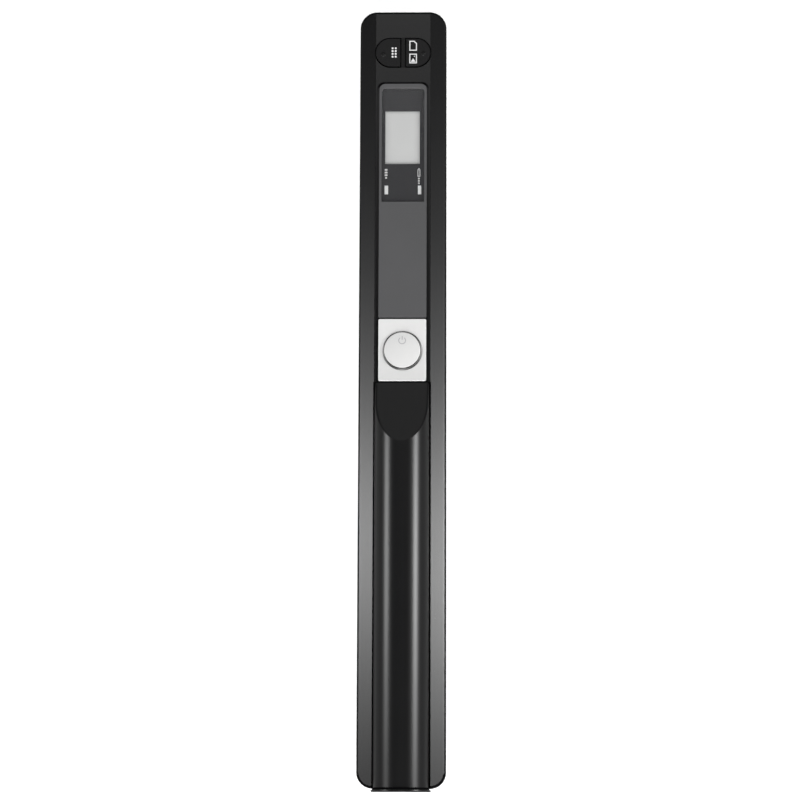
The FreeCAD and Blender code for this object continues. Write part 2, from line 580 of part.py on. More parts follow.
battery("battery_1", "cell_front")
battery("battery_2", "cell_front-cell_len-nub_len")
cell_end = "cell_front-2*cell_len-nub_len"
finish_part("front_contact", box("fc", "-4", "4", "cell_front+nub_len", "cell_front+nub_len+0.5", "chan_floor+2.3", "cell_zc+4"))
finish_part("rear_contact", box("rc", "-5", "5", cell_end + "-6.4", cell_end + "-6.0", "chan_floor+2.3", "cell_zc+5"))

y_sp0 = num(cell_end) - 6.0
turns, wire, coil = 4.5, 0.4, 3.2
helix = Part.makeHelix((6.0 - 2 * wire - 0.04) / turns, 6.0 - 2 * wire - 0.04, coil)
ring = Part.Wire(Part.makeCircle(wire, V(coil, 0, 0), V(0, 1, 0)))
coil_shape = Part.Wire(helix.Edges).makePipeShell([ring], True, True)
coil_shape.rotate(V(0, 0, 0), V(1, 0, 0), -90)
coil_shape.translate(V(0, y_sp0 + wire + 0.02, D["cell_zc"]))
raw("battery_spring", coil_shape)


def round_wire(pts, r):
    """A round wire through the points, straight runs joined by round bends."""
    solid = None
    for p, q in zip(pts, pts[1:]):
        a, b = V(*p), V(*q)
        s = Part.makeCylinder(r, (b - a).Length, a, b - a)
        solid = s if solid is None else solid.fuse(s)
    for p in pts[1:-1]:
        solid = solid.fuse(Part.makeSphere(r, V(*p)))
    return solid.removeSplitter()


ce = num(cell_end)
raw("battery_lead_neg", round_wire([(-4, ce - 5.92, D["chan_floor"] + 2.3), (-4, ce - 5.92, 9.55), (-4, 8.5, 9.55), (-4, 8.5, D["pcb_z"])], 0.45))
cf = D["cell_front"] + D["nub_len"]
raw("battery_lead_pos", round_wire([(2, cf + 0.2, D["chan_floor"] + 2.3), (2, cf + 0.2, 9.55), (2, 8.5, 9.55), (2, 8.5, D["pcb_z"])], 0.25))

# ---------------------------------------------------------------- label panel, window, display
panel_body = plan_prism("lp_plate", "2*panel_half", "panel_y1-panel_y0", "0.9", "rec_z", "panel_top", "(panel_y1+panel_y0)/2")
panel_cut = box("lp_win", "-win_half", "win_half", "win_y0", "win_y1", "rec_z-1", "panel_top+1")
finish_part("label_panel", cut("label_panel_solid", panel_body, panel_cut))
mask_plate = box("wm_plate", "-win_half", "win_half", "win_y0", "win_y1", "rec_z", "rec_z+0.45")
mask_cuts = [box("wm_lcd", "-lcd_half", "lcd_half", "lcd_y0", "lcd_y1", "rec_z-1", "rec_z+1")]
for k, x in enumerate(["-pipe_x", "pipe_x"]):
    mask_cuts.append(box("wm_pipe%d" % k, x + "-0.7", x + "+0.7", "pipe_y-1.5", "pipe_y+1.5", "rec_z-1", "rec_z+1"))
finish_part("window_mask", cut("window_mask_solid", mask_plate, *mask_cuts))
finish_part("display_window", box("dw", "-win_half", "win_half", "win_y0", "win_y1", "rec_z+0.45", "panel_top-0.1"))
finish_part("lcd_module", box("lcd", "-6.6", "6.6", "lcd_y0-2.2", "lcd_y1+1.8", "pcb_z+pcb_t+0.9", "rec_z-0.05"))
lh = cut("lcd_holder_solid", box("lh_o", "-7.0", "7.0", "lcd_y0-2.6", "lcd_y1+2.2", "pcb_z+pcb_t", "pcb_z+pcb_t+0.9"), box("lh_i", "-5.6", "5.6", "lcd_y0-1.2", "lcd_y1+0.8", "pcb_z", "rec_z"))
finish_part("lcd_holder", lh)
for side, x in (("left", "-pipe_x"), ("right", "pipe_x")):
    finish_part("indicator_pipe_" + side, box("ip_" + side, x + "-0.65", x + "+0.65", "pipe_y-1.45", "pipe_y+1.45", "pcb_z+pcb_t+0.75", "rec_z+0.45"))
    finish_part("indicator_led_" + side, box("il_" + side, x + "-0.6", x + "+0.6", "pipe_y-1.0", "pipe_y+1.0", "pcb_z+pcb_t", "pcb_z+pcb_t+0.6"))

# ---------------------------------------------------------------- button plate and buttons
bp = plan_prism("bp_plate", "2*plate_half", "plate_y1-plate_y0", "0.5", "rec_z", "plate_top", "(plate_y1+plate_y0)/2")
bp_cut = cut("button_plate_solid", bp, cyl("bp_hole", "z", "0", "scan_y", "rec_z-1", "scan_hole", "4"), cyl("bp_cbore", "z", "0", "scan_y", "rec_z-1", "7.15", "1.85"))
finish_part("button_plate", bp_cut)

sb = new_body("scan_button_body")
sb_sk = sketch(sb, "XZ_Plane", "scan_button_sk", (0, 0, "-scan_y"))
poly(
    sb_sk,
    [
        ("0", "pcb_z+pcb_t+1.15"),
        ("2.0", "pcb_z+pcb_t+1.15"),
        ("2.0", "rec_z+0.45"),
        ("7.0", "rec_z+0.45"),
        ("7.0", "rec_z+0.8"),
        ("scan_rad", "rec_z+0.8"),
        ("scan_rad", "scan_top-0.9"),
        ("scan_rad-0.2", "scan_top-0.6"),
        ("scan_rad-0.7", "scan_top-0.35"),
        ("scan_rad*0.6", "scan_top-0.1"),
        ("scan_rad*0.3", "scan_top-0.02"),
        ("0", "scan_top"),
    ],
)
sb_rev = sb.newObject("PartDesign::Revolution", "scan_button_rev")
sb_rev.Profile = sb_sk
sb_rev.ReferenceAxis = (sb_sk, ["V_Axis"])
sb_rev.Angle = 360
finish_part("scan_button", sb)


def half_key(label, s):
    """One half-oval key: cap, retaining flange and stem."""
    cx = ("-" if s == "-" else "") + "(key_half-key_rad)"
    def oval(tag, grow, z0, z1, inner):
        c = cyl(label + tag + "c", "z", cx, "key_y", z0, "key_rad-key_gap+" + grow, "(%s)-(%s)" % (z1, z0))
        a, b = ("-(key_half-key_rad)", "-" + inner) if s == "-" else (inner, "key_half-key_rad")
        m = box(label + tag + "m", a, b, "key_y-key_rad+key_gap-" + grow, "key_y+key_rad-key_gap+" + grow, z0, z1)
        lim = box(label + tag + "l", "-14" if s == "-" else inner, "-" + inner if s == "-" else "14", "key_y-9", "key_y+9", z0, z1)
        return common(label + tag, fuse(label + tag + "f", c, m), lim)
    inner = "(bar_half+key_gap)"
    cap = oval("_cap", "0", "12.8", "key_top", inner)
    flange = oval("_fl", "0.8", "12.8", "13.2", inner)
    stem = cyl(label + "_stem", "z", cx, "key_y", "pcb_z+pcb_t+1.15", "1.5", "12.9-(pcb_z+pcb_t+1.15)")
    doc.recompute()
    soft = doc.addObject("Part::Fillet", label + "_soft")
    soft.Base = cap
    top = num("key_top")
    soft.Edges = [(i + 1, 0.4, 0.4) for i, e in enumerate(cap.Shape.Edges) if abs(e.BoundBox.ZMin - top) < 1e-5]
    finish_part(label, fuse(label + "_solid", soft, flange, stem))


half_key("dpi_button", "-")
half_key("format_button", "+")

# ---------------------------------------------------------------- main board and what it carries
board = box("mb_plate", "-pcb_half", "pcb_half", "pcb_y0", "pcb_y1", "pcb_z", "pcb_z+pcb_t")
bcuts = []
for k, (bx, by) in enumerate([("boss_xl", "body_yc+boss_y"), ("boss_xr", "body_yc+boss_y")]):
    bcuts.append(cyl("mb_n%d" % k, "z", bx, by, "pcb_z-1", "boss_rad+0.3", "3"))
    a, b = ("-pcb_half-1", "boss_xl") if k == 0 else ("boss_xr", "pcb_half+1")
    bcuts.append(box("mb_nb%d" % k, a, b, by + "-boss_rad-0.3", by + "+boss_rad+0.3", "pcb_z-1", "pcb_z+2"))
for k, (bx, by) in enumerate([("-10.1", "36"), ("-10.1", "88"), ("10.1", "88")]):
    bcuts.append(cyl("mb_h%d" % k, "z", bx, by, "pcb_z-1", "0.8", "3"))
finish_part("main_board", cut("main_board_solid", board, *bcuts))

top_z = "pcb_z+pcb_t"
chips = [
    box("ch0", "-6.5", "0.5", "28.5", "35.5", top_z, top_z + "+1.1"),
    box("ch1", "2.5", "8.5", "30", "40", top_z, top_z + "+1.1"),
    box("ch2", "-7.0", "3.0", "42", "52", top_z, top_z + "+1.2"),
    box("ch3", "-6.0", "-2.5", "55.5", "60.5", top_z, top_z + "+0.9"),
    box("ch4", "4.5", "8.0", "50.5", "56.5", top_z, top_z + "+0.9"),
]
comp = doc.addObject("Part::Compound", "board_components_set")
comp.Links = chips
finish_part("board_components", comp)

sw = []
for label, x, y in (("scan_switch", "0", "scan_y"), ("dpi_switch", "-(key_half-key_rad)", "key_y"), ("format_switch", "key_half-key_rad", "key_y")):
    base = box(label + "_b", x + "-2.2", x + "+2.2", y + "-2.2", y + "+2.2", top_z, top_z + "+0.45")
    dome = cyl(label + "_d", "z", x, y, top_z + "+0.45", "1.3", "0.25")
    finish_part(label, fuse(label + "_solid", base, dome))

usb_out = box("usb_o", "5.65", "body_w/2-0.1", "usb_y-3.85", "usb_y+3.85", "pcb_z-3.9", "pcb_z")
usb_in = box("usb_i", "6.35", "body_w/2+1", "usb_y-3.45", "usb_y+3.45", "pcb_z-3.5", "pcb_z-0.4")
usb_tongue = box("usb_t", "6.3", "body_w/2-0.9", "usb_y-2.2", "usb_y+2.2", "pcb_z-2.3", "pcb_z-1.6")
finish_part("usb_socket", fuse("usb_socket_solid", cut("usb_shell", usb_out, usb_in), usb_tongue))
cs_out = box("cs_o", "-2.2", "body_w/2-wall-0.15", "card_y-6.6", "card_y+6.6", "pcb_z-1.6", "pcb_z")
cs_in = box("cs_i", "-1.1", "body_w/2", "card_y-5.6", "card_y+5.6", "pcb_z-1.2", "pcb_z-0.35")
finish_part("card_socket", cut("card_socket_solid", cs_out, cs_in))
finish_part("memory_card", box("mc", "body_w/2-15.1", "body_w/2-0.1", "card_y-5.5", "card_y+5.5", "pcb_z-1.13", "pcb_z-0.42"))
for tag, y in (("a", "pin_ya"), ("b", "pin_yb")):
    pin = fuse("pin_button_%s_solid" % tag, cyl("pb1" + tag, "x", "11.55", y, "pin_zc", "1.05", "2.4"), cyl("pb2" + tag, "x", "11.75", y, "pin_zc", "1.55", "0.9"))
    finish_part("pin_button_" + tag, pin)
    finish_part("pin_switch_" + tag, box("ps" + tag, "8.9", "11.2", y + "-1.8", y + "+1.8", "pin_zc-1.3", "pcb_z"))

# flat ribbon folded back between the sensor board and the main board
rz0, rz1 = D["cis_top"], D["pcb_z"]
rib_r = (rz1 - rz0) / 2
outer_pts = [V(0, 38, rz0)] + [V(0, 31 + rib_r - rib_r * math.sin(math.pi * k / 8), rz0 + rib_r - rib_r * math.cos(math.pi * k / 8)) for k in range(9)] + [V(0, 38, rz1)]
inner_pts = [V(0, 38, rz1 - 0.15)] + [V(0, 31 + rib_r - (rib_r - 0.15) * math.sin(math.pi * k / 8), rz0 + rib_r - (rib_r - 0.15) * math.cos(math.pi * k / 8)) for k in range(8, -1, -1)] + [V(0, 38, rz0 + 0.15)]
loop = outer_pts + inner_pts
ribbon = Part.Face(Part.makePolygon(loop + [loop[0]])).extrude(V(7, 0, 0))
ribbon.translate(V(-4.5, 0, 0))
raw("ribbon_cable", ribbon)

scr = []
for k, (bx, by) in enumerate([("-10.1", "36"), ("-10.1", "88"), ("10.1", "88")]):
    head = cyl("bs_h%d" % k, "z", bx, by, "pcb_z-0.7", "1.3", "0.7")
    shank = cyl("bs_s%d" % k, "z", bx, by, "pcb_z-0.1", "0.62", "2.3")
    scr.append(fuse("bs_%d" % k, head, shank))
scomp = doc.addObject("Part::Compound", "board_screws_set")
scomp.Links = scr
finish_part("board_screws", scomp)

cscr = []
for k, (bx, by) in enumerate([("boss_xl", "body_yc+boss_y"), ("boss_xr", "body_yc+boss_y"), ("boss_xl", "body_yc+boss_mid"), ("boss_xr", "body_yc+boss_mid"), ("boss_xl", "body_yc-boss_y"), ("boss_xr", "body_yc-boss_y")]):
    head = cyl("cs_h%d" % k, "z", bx, by, "z_bot+0.15", "1.95", "0.7")
    shank = cyl("cs_s%d" % k, "z", bx, by, "z_bot+0.8", "0.96", "7.2")
    slot_a = box("cs_a%d" % k, bx + "-1.1", bx + "+1.1", by + "-0.22", by + "+0.22", "z_bot", "z_bot+0.5")
    slot_b = box("cs_b%d" % k, bx + "-0.22", bx + "+0.22", by + "-1.1", by + "+1.1", "z_bot", "z_bot+0.5")
    cscr.append(cut("cs_%d" % k, fuse("cs_f%d" % k, head, shank), slot_a, slot_b))
ccomp = doc.addObject("Part::Compound", "case_screws_set")
ccomp.Links = cscr
finish_part("case_screws", ccomp)

# ---------------------------------------------------------------- contact image sensor
yc0, yc1 = "body_yc-cis_half", "body_yc+cis_half"
hs = box("ch_o", "cis_x0", "cis_x1", yc0, yc1, "z_bot+wall", "cis_top")
nose = box("ch_n", "cis_x0+0.5", "cis_x1-0.5", yc0 + "+1.0", yc1 + "-1.0", "glass_z+glass_t", "z_bot+wall+0.1")
hcuts = [
    box("ch_light", "cis_x0+1.3", "cis_x0+4.6", yc0 + "+2.5", yc1 + "-2.5", "glass_z+glass_t-0.5", "z_bot+wall+2.2"),
    box("ch_lens", "-1.5", "0.9", yc0 + "+2.5", yc1 + "-2.5", "glass_z+glass_t-0.5", "cis_top-0.9"),
    box("ch_view", "-2.5", "-1.4", yc0 + "+2.5", yc1 + "-2.5", "glass_z+glass_t-0.5", "z_bot+wall+0.9"),
    box("ch_board", "cis_x0+0.7", "cis_x1-0.7", yc0 + "+0.8", yc1 + "-0.8", "cis_top-1.0", "cis_top+1"),
]
finish_part("cis_housing", cut("cis_housing_solid", fuse("ch_f", hs, nose), *hcuts))
finish_part("cis_glass", box("cg", "cis_x0+0.5", "cis_x1-0.5", yc0 + "+1.0", yc1 + "-1.0", "glass_z", "glass_z+glass_t"))
finish_part("cis_light_guide", box("clg", "cis_x0+1.4", "cis_x0+4.0", yc0 + "+3.0", yc1 + "-3.0", "glass_z+glass_t+0.3", "z_bot+wall+2.1"))
finish_part("cis_lens_array", box("cla", "-1.4", "0.8", yc0 + "+3.0", yc1 + "-3.0", "z_bot+wall+1.0", "cis_top-2.2"))
finish_part("cis_sensor_board", box("csb", "cis_x0+0.8", "cis_x1-0.8", yc0 + "+1.0", yc1 + "-1.0", "cis_top-1.0", "cis_top"))

# ---------------------------------------------------------------- rollers, shaft, gear, encoder
finish_part("roller_shaft", cyl("shaft", "y", "axle_x", "body_yc-126.3", "axle_z", "shaft_rad", "252.6"))
for s, a in (("front", "body_yc+124.95"), ("back", "body_yc-126.5")):
    finish_part("shaft_bush_" + s, cut("bush_%s_solid" % s, cyl("bu_o" + s, "y", "axle_x", a, "axle_z", "1.9", "1.55"), cyl("bu_i" + s, "y", "axle_x", a + "-1", "axle_z", "shaft_rad+0.05", "4")))


def roller(kind, x, bore, s, sign):
    y0 = "body_yc%sroller_y-roller_w/2" % sign
    hub = cut("%s_hub_%s_solid" % (kind, s), cyl("%so%s" % (kind, s), "y", x, y0, "axle_z", "3.5", "roller_w"), cyl("%si%s" % (kind, s), "y", x, y0 + "-1", "axle_z", bore, "roller_w+2"))
    finish_part("%s_hub_%s" % (kind, s), hub)
    t = cyl("%st%s" % (kind, s), "y", x, y0, "axle_z", "roller_rad", "roller_w")
    doc.recompute()
    soft = doc.addObject("Part::Fillet", "%sts%s" % (kind, s))
    soft.Base = t
    soft.Edges = [(i + 1, 0.4, 0.4) for i, e in enumerate(t.Shape.Edges) if e.Curve.TypeId == "Part::GeomCircle"]
    tyre = cut("%s_tyre_%s_solid" % (kind, s), soft, cyl("%sti%s" % (kind, s), "y", x, y0 + "-1", "axle_z", "3.5", "roller_w+2"))
    finish_part("%s_tyre_%s" % (kind, s), tyre)


for s, sign in (("front", "+"), ("back", "-")):
    roller("drive", "axle_x", "shaft_rad", s, sign)
    roller("support", "-axle_x", "pin_rad+0.05", s, sign)
    finish_part("support_pin_" + s, cyl("spin_" + s, "y", "-axle_x", "body_yc+117.0" if sign == "+" else "body_yc-126.3", "axle_z", "pin_rad", "9.3"))


def gear_face(cx, cz, n, phase, bore):
    """Tooth outline of a small spur gear in X and Z about (cx, cz)."""
    m = D["gear_mod"]
    rp, ra, rf = n * m / 2, n * m / 2 + 0.85 * m, n * m / 2 - 1.25 * m
    half_p, half_a, half_f = 0.19 / rp, 0.085 / ra, 0.26 / rf
    pts = []
    for k in range(n):
        c = phase + 2 * math.pi * k / n
        for r, d in ((rf, -half_f), (rp, -half_p), (ra, -half_a), (ra, half_a), (rp, half_p), (rf, half_f)):
            pts.append(V(cx + r * math.cos(c + d), 0, cz + r * math.sin(c + d)))
    face = Part.Face(Part.makePolygon(pts + [pts[0]]))
    hole = Part.Face(Part.Wire(Part.makeCircle(bore, V(cx, 0, cz), V(0, 1, 0))))
    return face.cut(hole)


mesh_dir = math.radians(160)
gear = gear_face(D["axle_x"], D["axle_z"], int(D["drive_teeth"]), mesh_dir, D["shaft_rad"]).extrude(V(0, D["gear_w"], 0))
gear.translate(V(0, D["body_yc"] + D["gear_y"] - D["gear_w"] / 2, 0))
raw("drive_gear", gear)

n2 = int(D["enc_teeth"])
pinion = gear_face(enc_x, enc_z, n2, mesh_dir + math.pi + math.pi / n2, 0.55).extrude(V(0, D["gear_w"] + 0.001, 0))
pinion.translate(V(0, D["body_yc"] + D["gear_y"] - D["gear_w"] / 2, 0))
yd = D["body_yc"] + D["disc_y"]
ax = V(0, 1, 0)
y_hub = D["body_yc"] + D["gear_y"] + D["gear_w"] / 2
hub = Part.makeCylinder(1.1, yd + 0.2 - y_hub, V(enc_x, y_hub, enc_z), ax)
disc = Part.makeCylinder(D["disc_rad"], 0.4, V(enc_x, yd - 0.2, enc_z), ax)
for k in range(16):
    s = Part.makeBox(1.0, 2, 0.38)
    s.translate(V(1.85, -1, -0.19))
    s.rotate(V(0, 0, 0), ax, 360.0 * k / 16)
    s.translate(V(enc_x, yd, enc_z))
    disc = disc.cut(s)
wheel = pinion.fuse(hub).fuse(disc).cut(Part.makeCylinder(0.55, 6, V(enc_x, y_hub - 2, enc_z), ax)).removeSplitter()
raw("encoder_wheel", wheel)
ye = D["body_yc"]
pin = Part.makeCylinder(0.5, 4.15, V(enc_x, ye + 113.7, enc_z), ax).fuse(Part.makeCylinder(0.8, 0.3, V(enc_x, ye + 117.8, enc_z), ax)).removeSplitter()
raw("encoder_pin", pin)
es = fuse(
    "encoder_sensor_solid",
    box("es_b", "0.4", "4.4", "body_yc+disc_y-1.15", "body_yc+disc_y+0.95", "9.95", "pcb_z"),
    box("es_l", "0.4", "4.4", "body_yc+disc_y-1.15", "body_yc+disc_y-0.35", "7.85", "pcb_z"),
    box("es_r", "0.4", "4.4", "body_yc+disc_y+0.35", "body_yc+disc_y+0.95", "7.85", "pcb_z"),
)
finish_part("encoder_sensor", es)

# ---------------------------------------------------------------- check and write
doc.recompute()
problems = [o.Name + " " + " ".join(o.State) for o in doc.Objects if "Invalid" in o.State or "Error" in o.State]
if problems:
    raise RuntimeError("; ".join(problems))
os.makedirs("parts", exist_ok=True)
for label, obj in parts.items():
    shape = obj.Shape
    if shape.isNull() or not shape.isValid() or shape.Volume <= 0:
        raise RuntimeError("bad shape: " + label)
    shape.exportStep("parts/" + label + ".step")
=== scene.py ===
import math

import bmesh
import bpy
from mathutils import Matrix, Vector


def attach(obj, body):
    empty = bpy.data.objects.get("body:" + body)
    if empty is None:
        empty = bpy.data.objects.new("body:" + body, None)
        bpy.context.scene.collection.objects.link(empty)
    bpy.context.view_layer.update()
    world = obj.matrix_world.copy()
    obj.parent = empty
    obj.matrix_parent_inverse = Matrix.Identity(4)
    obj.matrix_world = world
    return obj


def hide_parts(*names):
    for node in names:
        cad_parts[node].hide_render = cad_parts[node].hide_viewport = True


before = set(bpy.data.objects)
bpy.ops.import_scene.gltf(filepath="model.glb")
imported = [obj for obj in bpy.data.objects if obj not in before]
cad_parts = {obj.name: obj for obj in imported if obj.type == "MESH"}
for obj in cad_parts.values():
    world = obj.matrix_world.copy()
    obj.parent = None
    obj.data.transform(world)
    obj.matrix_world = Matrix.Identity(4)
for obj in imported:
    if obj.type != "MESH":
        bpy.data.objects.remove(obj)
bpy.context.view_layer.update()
MM = 0.001


# ------------------------------------------------------------------ node helpers
def new_mat(name):
    m = bpy.data.materials.new(name)
    m.use_nodes = True
    nt = m.node_tree
    bsdf = next(n for n in nt.nodes if n.type == "BSDF_PRINCIPLED")
    return m, nt, bsdf


def ramp(nt, fac, stops):
    r = nt.nodes.new("ShaderNodeValToRGB")
    e = r.color_ramp.elements
    while len(e) < len(stops):
        e.new(0.5)
    for el, (p, c) in zip(e, stops):
        el.position = p
        el.color = (c, c, c, 1.0) if isinstance(c, (int, float)) else (*c, 1.0)
    nt.links.new(fac, r.inputs["Fac"])
    return r.outputs["Color"]


def noise(nt, coord, scale, detail=3.0, rough=0.55):
    n = nt.nodes.new("ShaderNodeTexNoise")
    n.inputs["Scale"].default_value = scale
    n.inputs["Detail"].default_value = detail
    n.inputs["Roughness"].default_value = rough
    nt.links.new(coord, n.inputs["Vector"])
    return n.outputs["Fac"]


def coords(nt):
    return nt.nodes.new("ShaderNodeTexCoord").outputs["Object"]


def math_node(nt, op, a, b=None):
    n = nt.nodes.new("ShaderNodeMath")
    n.operation = op
    for i, v in enumerate((a, b)):
        if v is None:
            continue
        if isinstance(v, (int, float)):
            n.inputs[i].default_value = v
        else:
            nt.links.new(v, n.inputs[i])
    return n.outputs[0]


def bump(nt, bsdf, height, strength, distance, normal=None):
    b = nt.nodes.new("ShaderNodeBump")
    b.inputs["Strength"].default_value = strength
    b.inputs["Distance"].default_value = distance
    nt.links.new(height, b.inputs["Height"])
    if normal is not None:
        nt.links.new(normal, b.inputs["Normal"])
    nt.links.new(b.outputs["Normal"], bsdf.inputs["Normal"])
    return b.outputs["Normal"]


def plastic(name, base, vary, rough, rough_vary=0.05, grain=0.35, grain_mm=0.004, spec=0.5, coat=0.0, metallic=0.0, fine=2600.0, streak=0.0):
    """Moulded or painted plastic: fine grain, cloudy roughness, a little colour drift."""
    m, nt, bsdf = new_mat(name)
    co = coords(nt)
    cloud = noise(nt, co, 38.0, 4.0)
    grain_f = noise(nt, co, fine, 2.0, 0.6)
    speck = noise(nt, co, fine * 0.33, 3.0, 0.6)
    lo = tuple(max(0.0, c * (1 - vary)) for c in base)
    hi = tuple(c * (1 + vary) for c in base)
    nt.links.new(ramp(nt, cloud, [(0.3, lo), (0.7, hi)]), bsdf.inputs["Base Color"])
    rmix = math_node(nt, "ADD", math_node(nt, "MULTIPLY", cloud, 0.7), math_node(nt, "MULTIPLY", speck, 0.3))
    nt.links.new(ramp(nt, rmix, [(0.3, max(0.02, rough - rough_vary)), (0.7, rough + rough_vary)]), bsdf.inputs["Roughness"])
    h = math_node(nt, "ADD", math_node(nt, "MULTIPLY", grain_f, 0.65), math_node(nt, "MULTIPLY", speck, 0.35))
    if streak:
        w = nt.nodes.new("ShaderNodeMapping")
        w.inputs["Scale"].default_value = (1.0, 0.03, 1.0)
        nt.links.new(co, w.inputs["Vector"])
        h = math_node(nt, "ADD", h, math_node(nt, "MULTIPLY", noise(nt, w.outputs["Vector"], 1800.0, 2.0), streak))
    bump(nt, bsdf, h, grain, grain_mm * MM * 10)
    bsdf.inputs["Specular IOR Level"].default_value = spec
    bsdf.inputs["Metallic"].default_value = metallic
    if coat:
        bsdf.inputs["Coat Weight"].default_value = coat
        bsdf.inputs["Coat Roughness"].default_value = 0.12
    return m


def metal(name, base, rough, brushed=(1.0, 1.0, 1.0), scale=900.0):
    m, nt, bsdf = new_mat(name)
    mp = nt.nodes.new("ShaderNodeMapping")
    mp.inputs["Scale"].default_value = brushed
    nt.links.new(coords(nt), mp.inputs["Vector"])
    n1 = noise(nt, mp.outputs["Vector"], scale, 4.0)
    lo = tuple(c * 0.86 for c in base)
    nt.links.new(ramp(nt, n1, [(0.35, lo), (0.65, base)]), bsdf.inputs["Base Color"])
    nt.links.new(ramp(nt, n1, [(0.3, rough * 0.8), (0.7, rough * 1.25)]), bsdf.inputs["Roughness"])
    bump(nt, bsdf, n1, 0.25, 0.00003)
    bsdf.inputs["Metallic"].default_value = 1.0
    return m


CASE = plastic("moulded_black", (0.0036, 0.0036, 0.0038), 0.10, 0.27, 0.004, grain=0.006, spec=0.28)
# painted shade: a dull copy of the black plastic with its sheen taken off, laid on the rim fillet and the handle neck
# so they show as dark lines
CASE_RIM_SHADE = plastic("moulded_black_rim_shade", (0.0036, 0.0036, 0.0038), 0.10, 0.40, 0.02, grain=0.02, spec=0.0)
CASE_UNDER = plastic("moulded_black_under", (0.0085, 0.0085, 0.009), 0.12, 0.46, 0.04, grain=0.5, spec=0.5)
COVER = plastic("moulded_black_cover", (0.0034, 0.0034, 0.0036), 0.10, 0.32, 0.004, grain=0.006, spec=0.29)
KEYS = plastic("moulded_black_keys", (0.0045, 0.0045, 0.0047), 0.10, 0.38, 0.02, grain=0.10, spec=0.20)
# painted shade: dark plastic for a ring on the scan button's side wall, standing in for the shade in the gap round the
# button
SHADE_SKIRT = plastic("button_gap_painted_shade", (0.006, 0.006, 0.006), 0.10, 0.45, 0.04, grain=0.2, spec=0.15)
PANEL = plastic("satin_grey_lacquer", (0.055, 0.055, 0.057), 0.05, 0.42, 0.03, grain=0.12, spec=0.5)
MASK = plastic("printed_black", (0.030, 0.030, 0.032), 0.06, 0.5, 0.03, grain=0.1, spec=0.3)
SILVER = plastic("silver_paint", (0.69, 0.69, 0.685), 0.02, 0.34, 0.03, grain=0.16, spec=0.5, metallic=0.35, fine=3600.0)
SILVER_BTN = plastic("silver_paint_button", (0.54, 0.54, 0.536), 0.02, 0.40, 0.02, grain=0.08, spec=0.25, metallic=0.05, fine=3600.0)
INK = plastic("pale_ink", (0.60, 0.60, 0.60), 0.03, 0.5, 0.04, grain=0.1, spec=0.3)
INK_GREY = plastic("grey_ink", (0.33, 0.33, 0.34), 0.04, 0.5, 0.04, grain=0.1, spec=0.3)
WHITE = plastic("white_moulding", (0.72, 0.72, 0.70), 0.03, 0.45, 0.05, grain=0.2)
ACETAL = plastic("white_acetal", (0.66, 0.66, 0.63), 0.04, 0.38, 0.05, grain=0.25)
RUBBER = plastic("soft_rubber", (0.022, 0.022, 0.022), 0.25, 0.72, 0.06, grain=0.8, fine=1500.0, spec=0.3)
CHIP = plastic("moulded_chip", (0.016, 0.016, 0.017), 0.15, 0.5, 0.05, grain=0.6)
BOARD = plastic("solder_mask", (0.012, 0.10, 0.045), 0.12, 0.28, 0.05, grain=0.2, coat=0.3)
FLEX = plastic("flex_film", (0.42, 0.20, 0.035), 0.1, 0.25, 0.05, grain=0.1, coat=0.4)
WIRE_B = plastic("wire_black_pvc", (0.012, 0.012, 0.012), 0.1, 0.35, 0.05, grain=0.2)
WIRE_R = plastic("wire_red_pvc", (0.40, 0.015, 0.012), 0.1, 0.35, 0.05, grain=0.2)
SCREW = plastic("blackened_screw", (0.03, 0.03, 0.032), 0.2, 0.32, 0.06, grain=0.3, metallic=0.9)
LENS = plastic("lens_block", (0.03, 0.03, 0.04), 0.1, 0.2, 0.04, grain=0.1, coat=0.5)
STEEL = metal("bright_steel", (0.72, 0.71, 0.69), 0.24, (1.0, 0.06, 1.0))
CONTACT = metal("nickel_contact", (0.70, 0.68, 0.63), 0.22)
PIPE = plastic("milky_pipe", (0.72, 0.73, 0.73), 0.03, 0.3, 0.04, grain=0.1)


def lcd_material():
    """Pale cell with painted shade: a little darker along its far and left edges, where the bezel shades them."""
    m, nt, bsdf = new_mat("lcd_cell")
    co = coords(nt)
    sep = nt.nodes.new("ShaderNodeSeparateXYZ")
    nt.links.new(co, sep.inputs[0])
    # painted shade: far and side grow from the far and left edges of the cell, and the ramp darkens the colour there
    far = math_node(nt, "MULTIPLY", math_node(nt, "SUBTRACT", 0.0946, sep.outputs["Y"]), 1100.0)
    side = math_node(nt, "MULTIPLY", math_node(nt, "ADD", sep.outputs["X"], 0.0059), 2600.0)
    edge = math_node(nt, "MAXIMUM", math_node(nt, "MINIMUM", math_node(nt, "MINIMUM", far, side), 1.0), 0.0)
    soft = math_node(nt, "MULTIPLY", noise(nt, co, 60.0, 2.0), 0.2)
    v = math_node(nt, "ADD", math_node(nt, "MULTIPLY", edge, 0.8), soft)
    nt.links.new(ramp(nt, v, [(0.0, (0.30, 0.305, 0.30)), (0.35, (0.44, 0.445, 0.44)), (0.80, (0.545, 0.55, 0.545)), (1.0, (0.60, 0.605, 0.60))]), bsdf.inputs["Base Color"])
    fine = noise(nt, co, 3000.0, 1.0)
    nt.links.new(ramp(nt, fine, [(0.3, 0.34), (0.7, 0.42)]), bsdf.inputs["Roughness"])
    bump(nt, bsdf, fine, 0.06, 0.00001)
    return m


def clear_material(name, tint, rough, alpha):
    m, nt, bsdf = new_mat(name)
    co = coords(nt)
    n1 = noise(nt, co, 45.0, 3.0)
    nt.links.new(ramp(nt, n1, [(0.3, rough * 0.8), (0.7, rough * 1.3)]), bsdf.inputs["Roughness"])
    bsdf.inputs["Base Color"].default_value = (*tint, 1.0)
    bsdf.inputs["Alpha"].default_value = alpha
    bsdf.inputs["Specular IOR Level"].default_value = 0.5
    return m


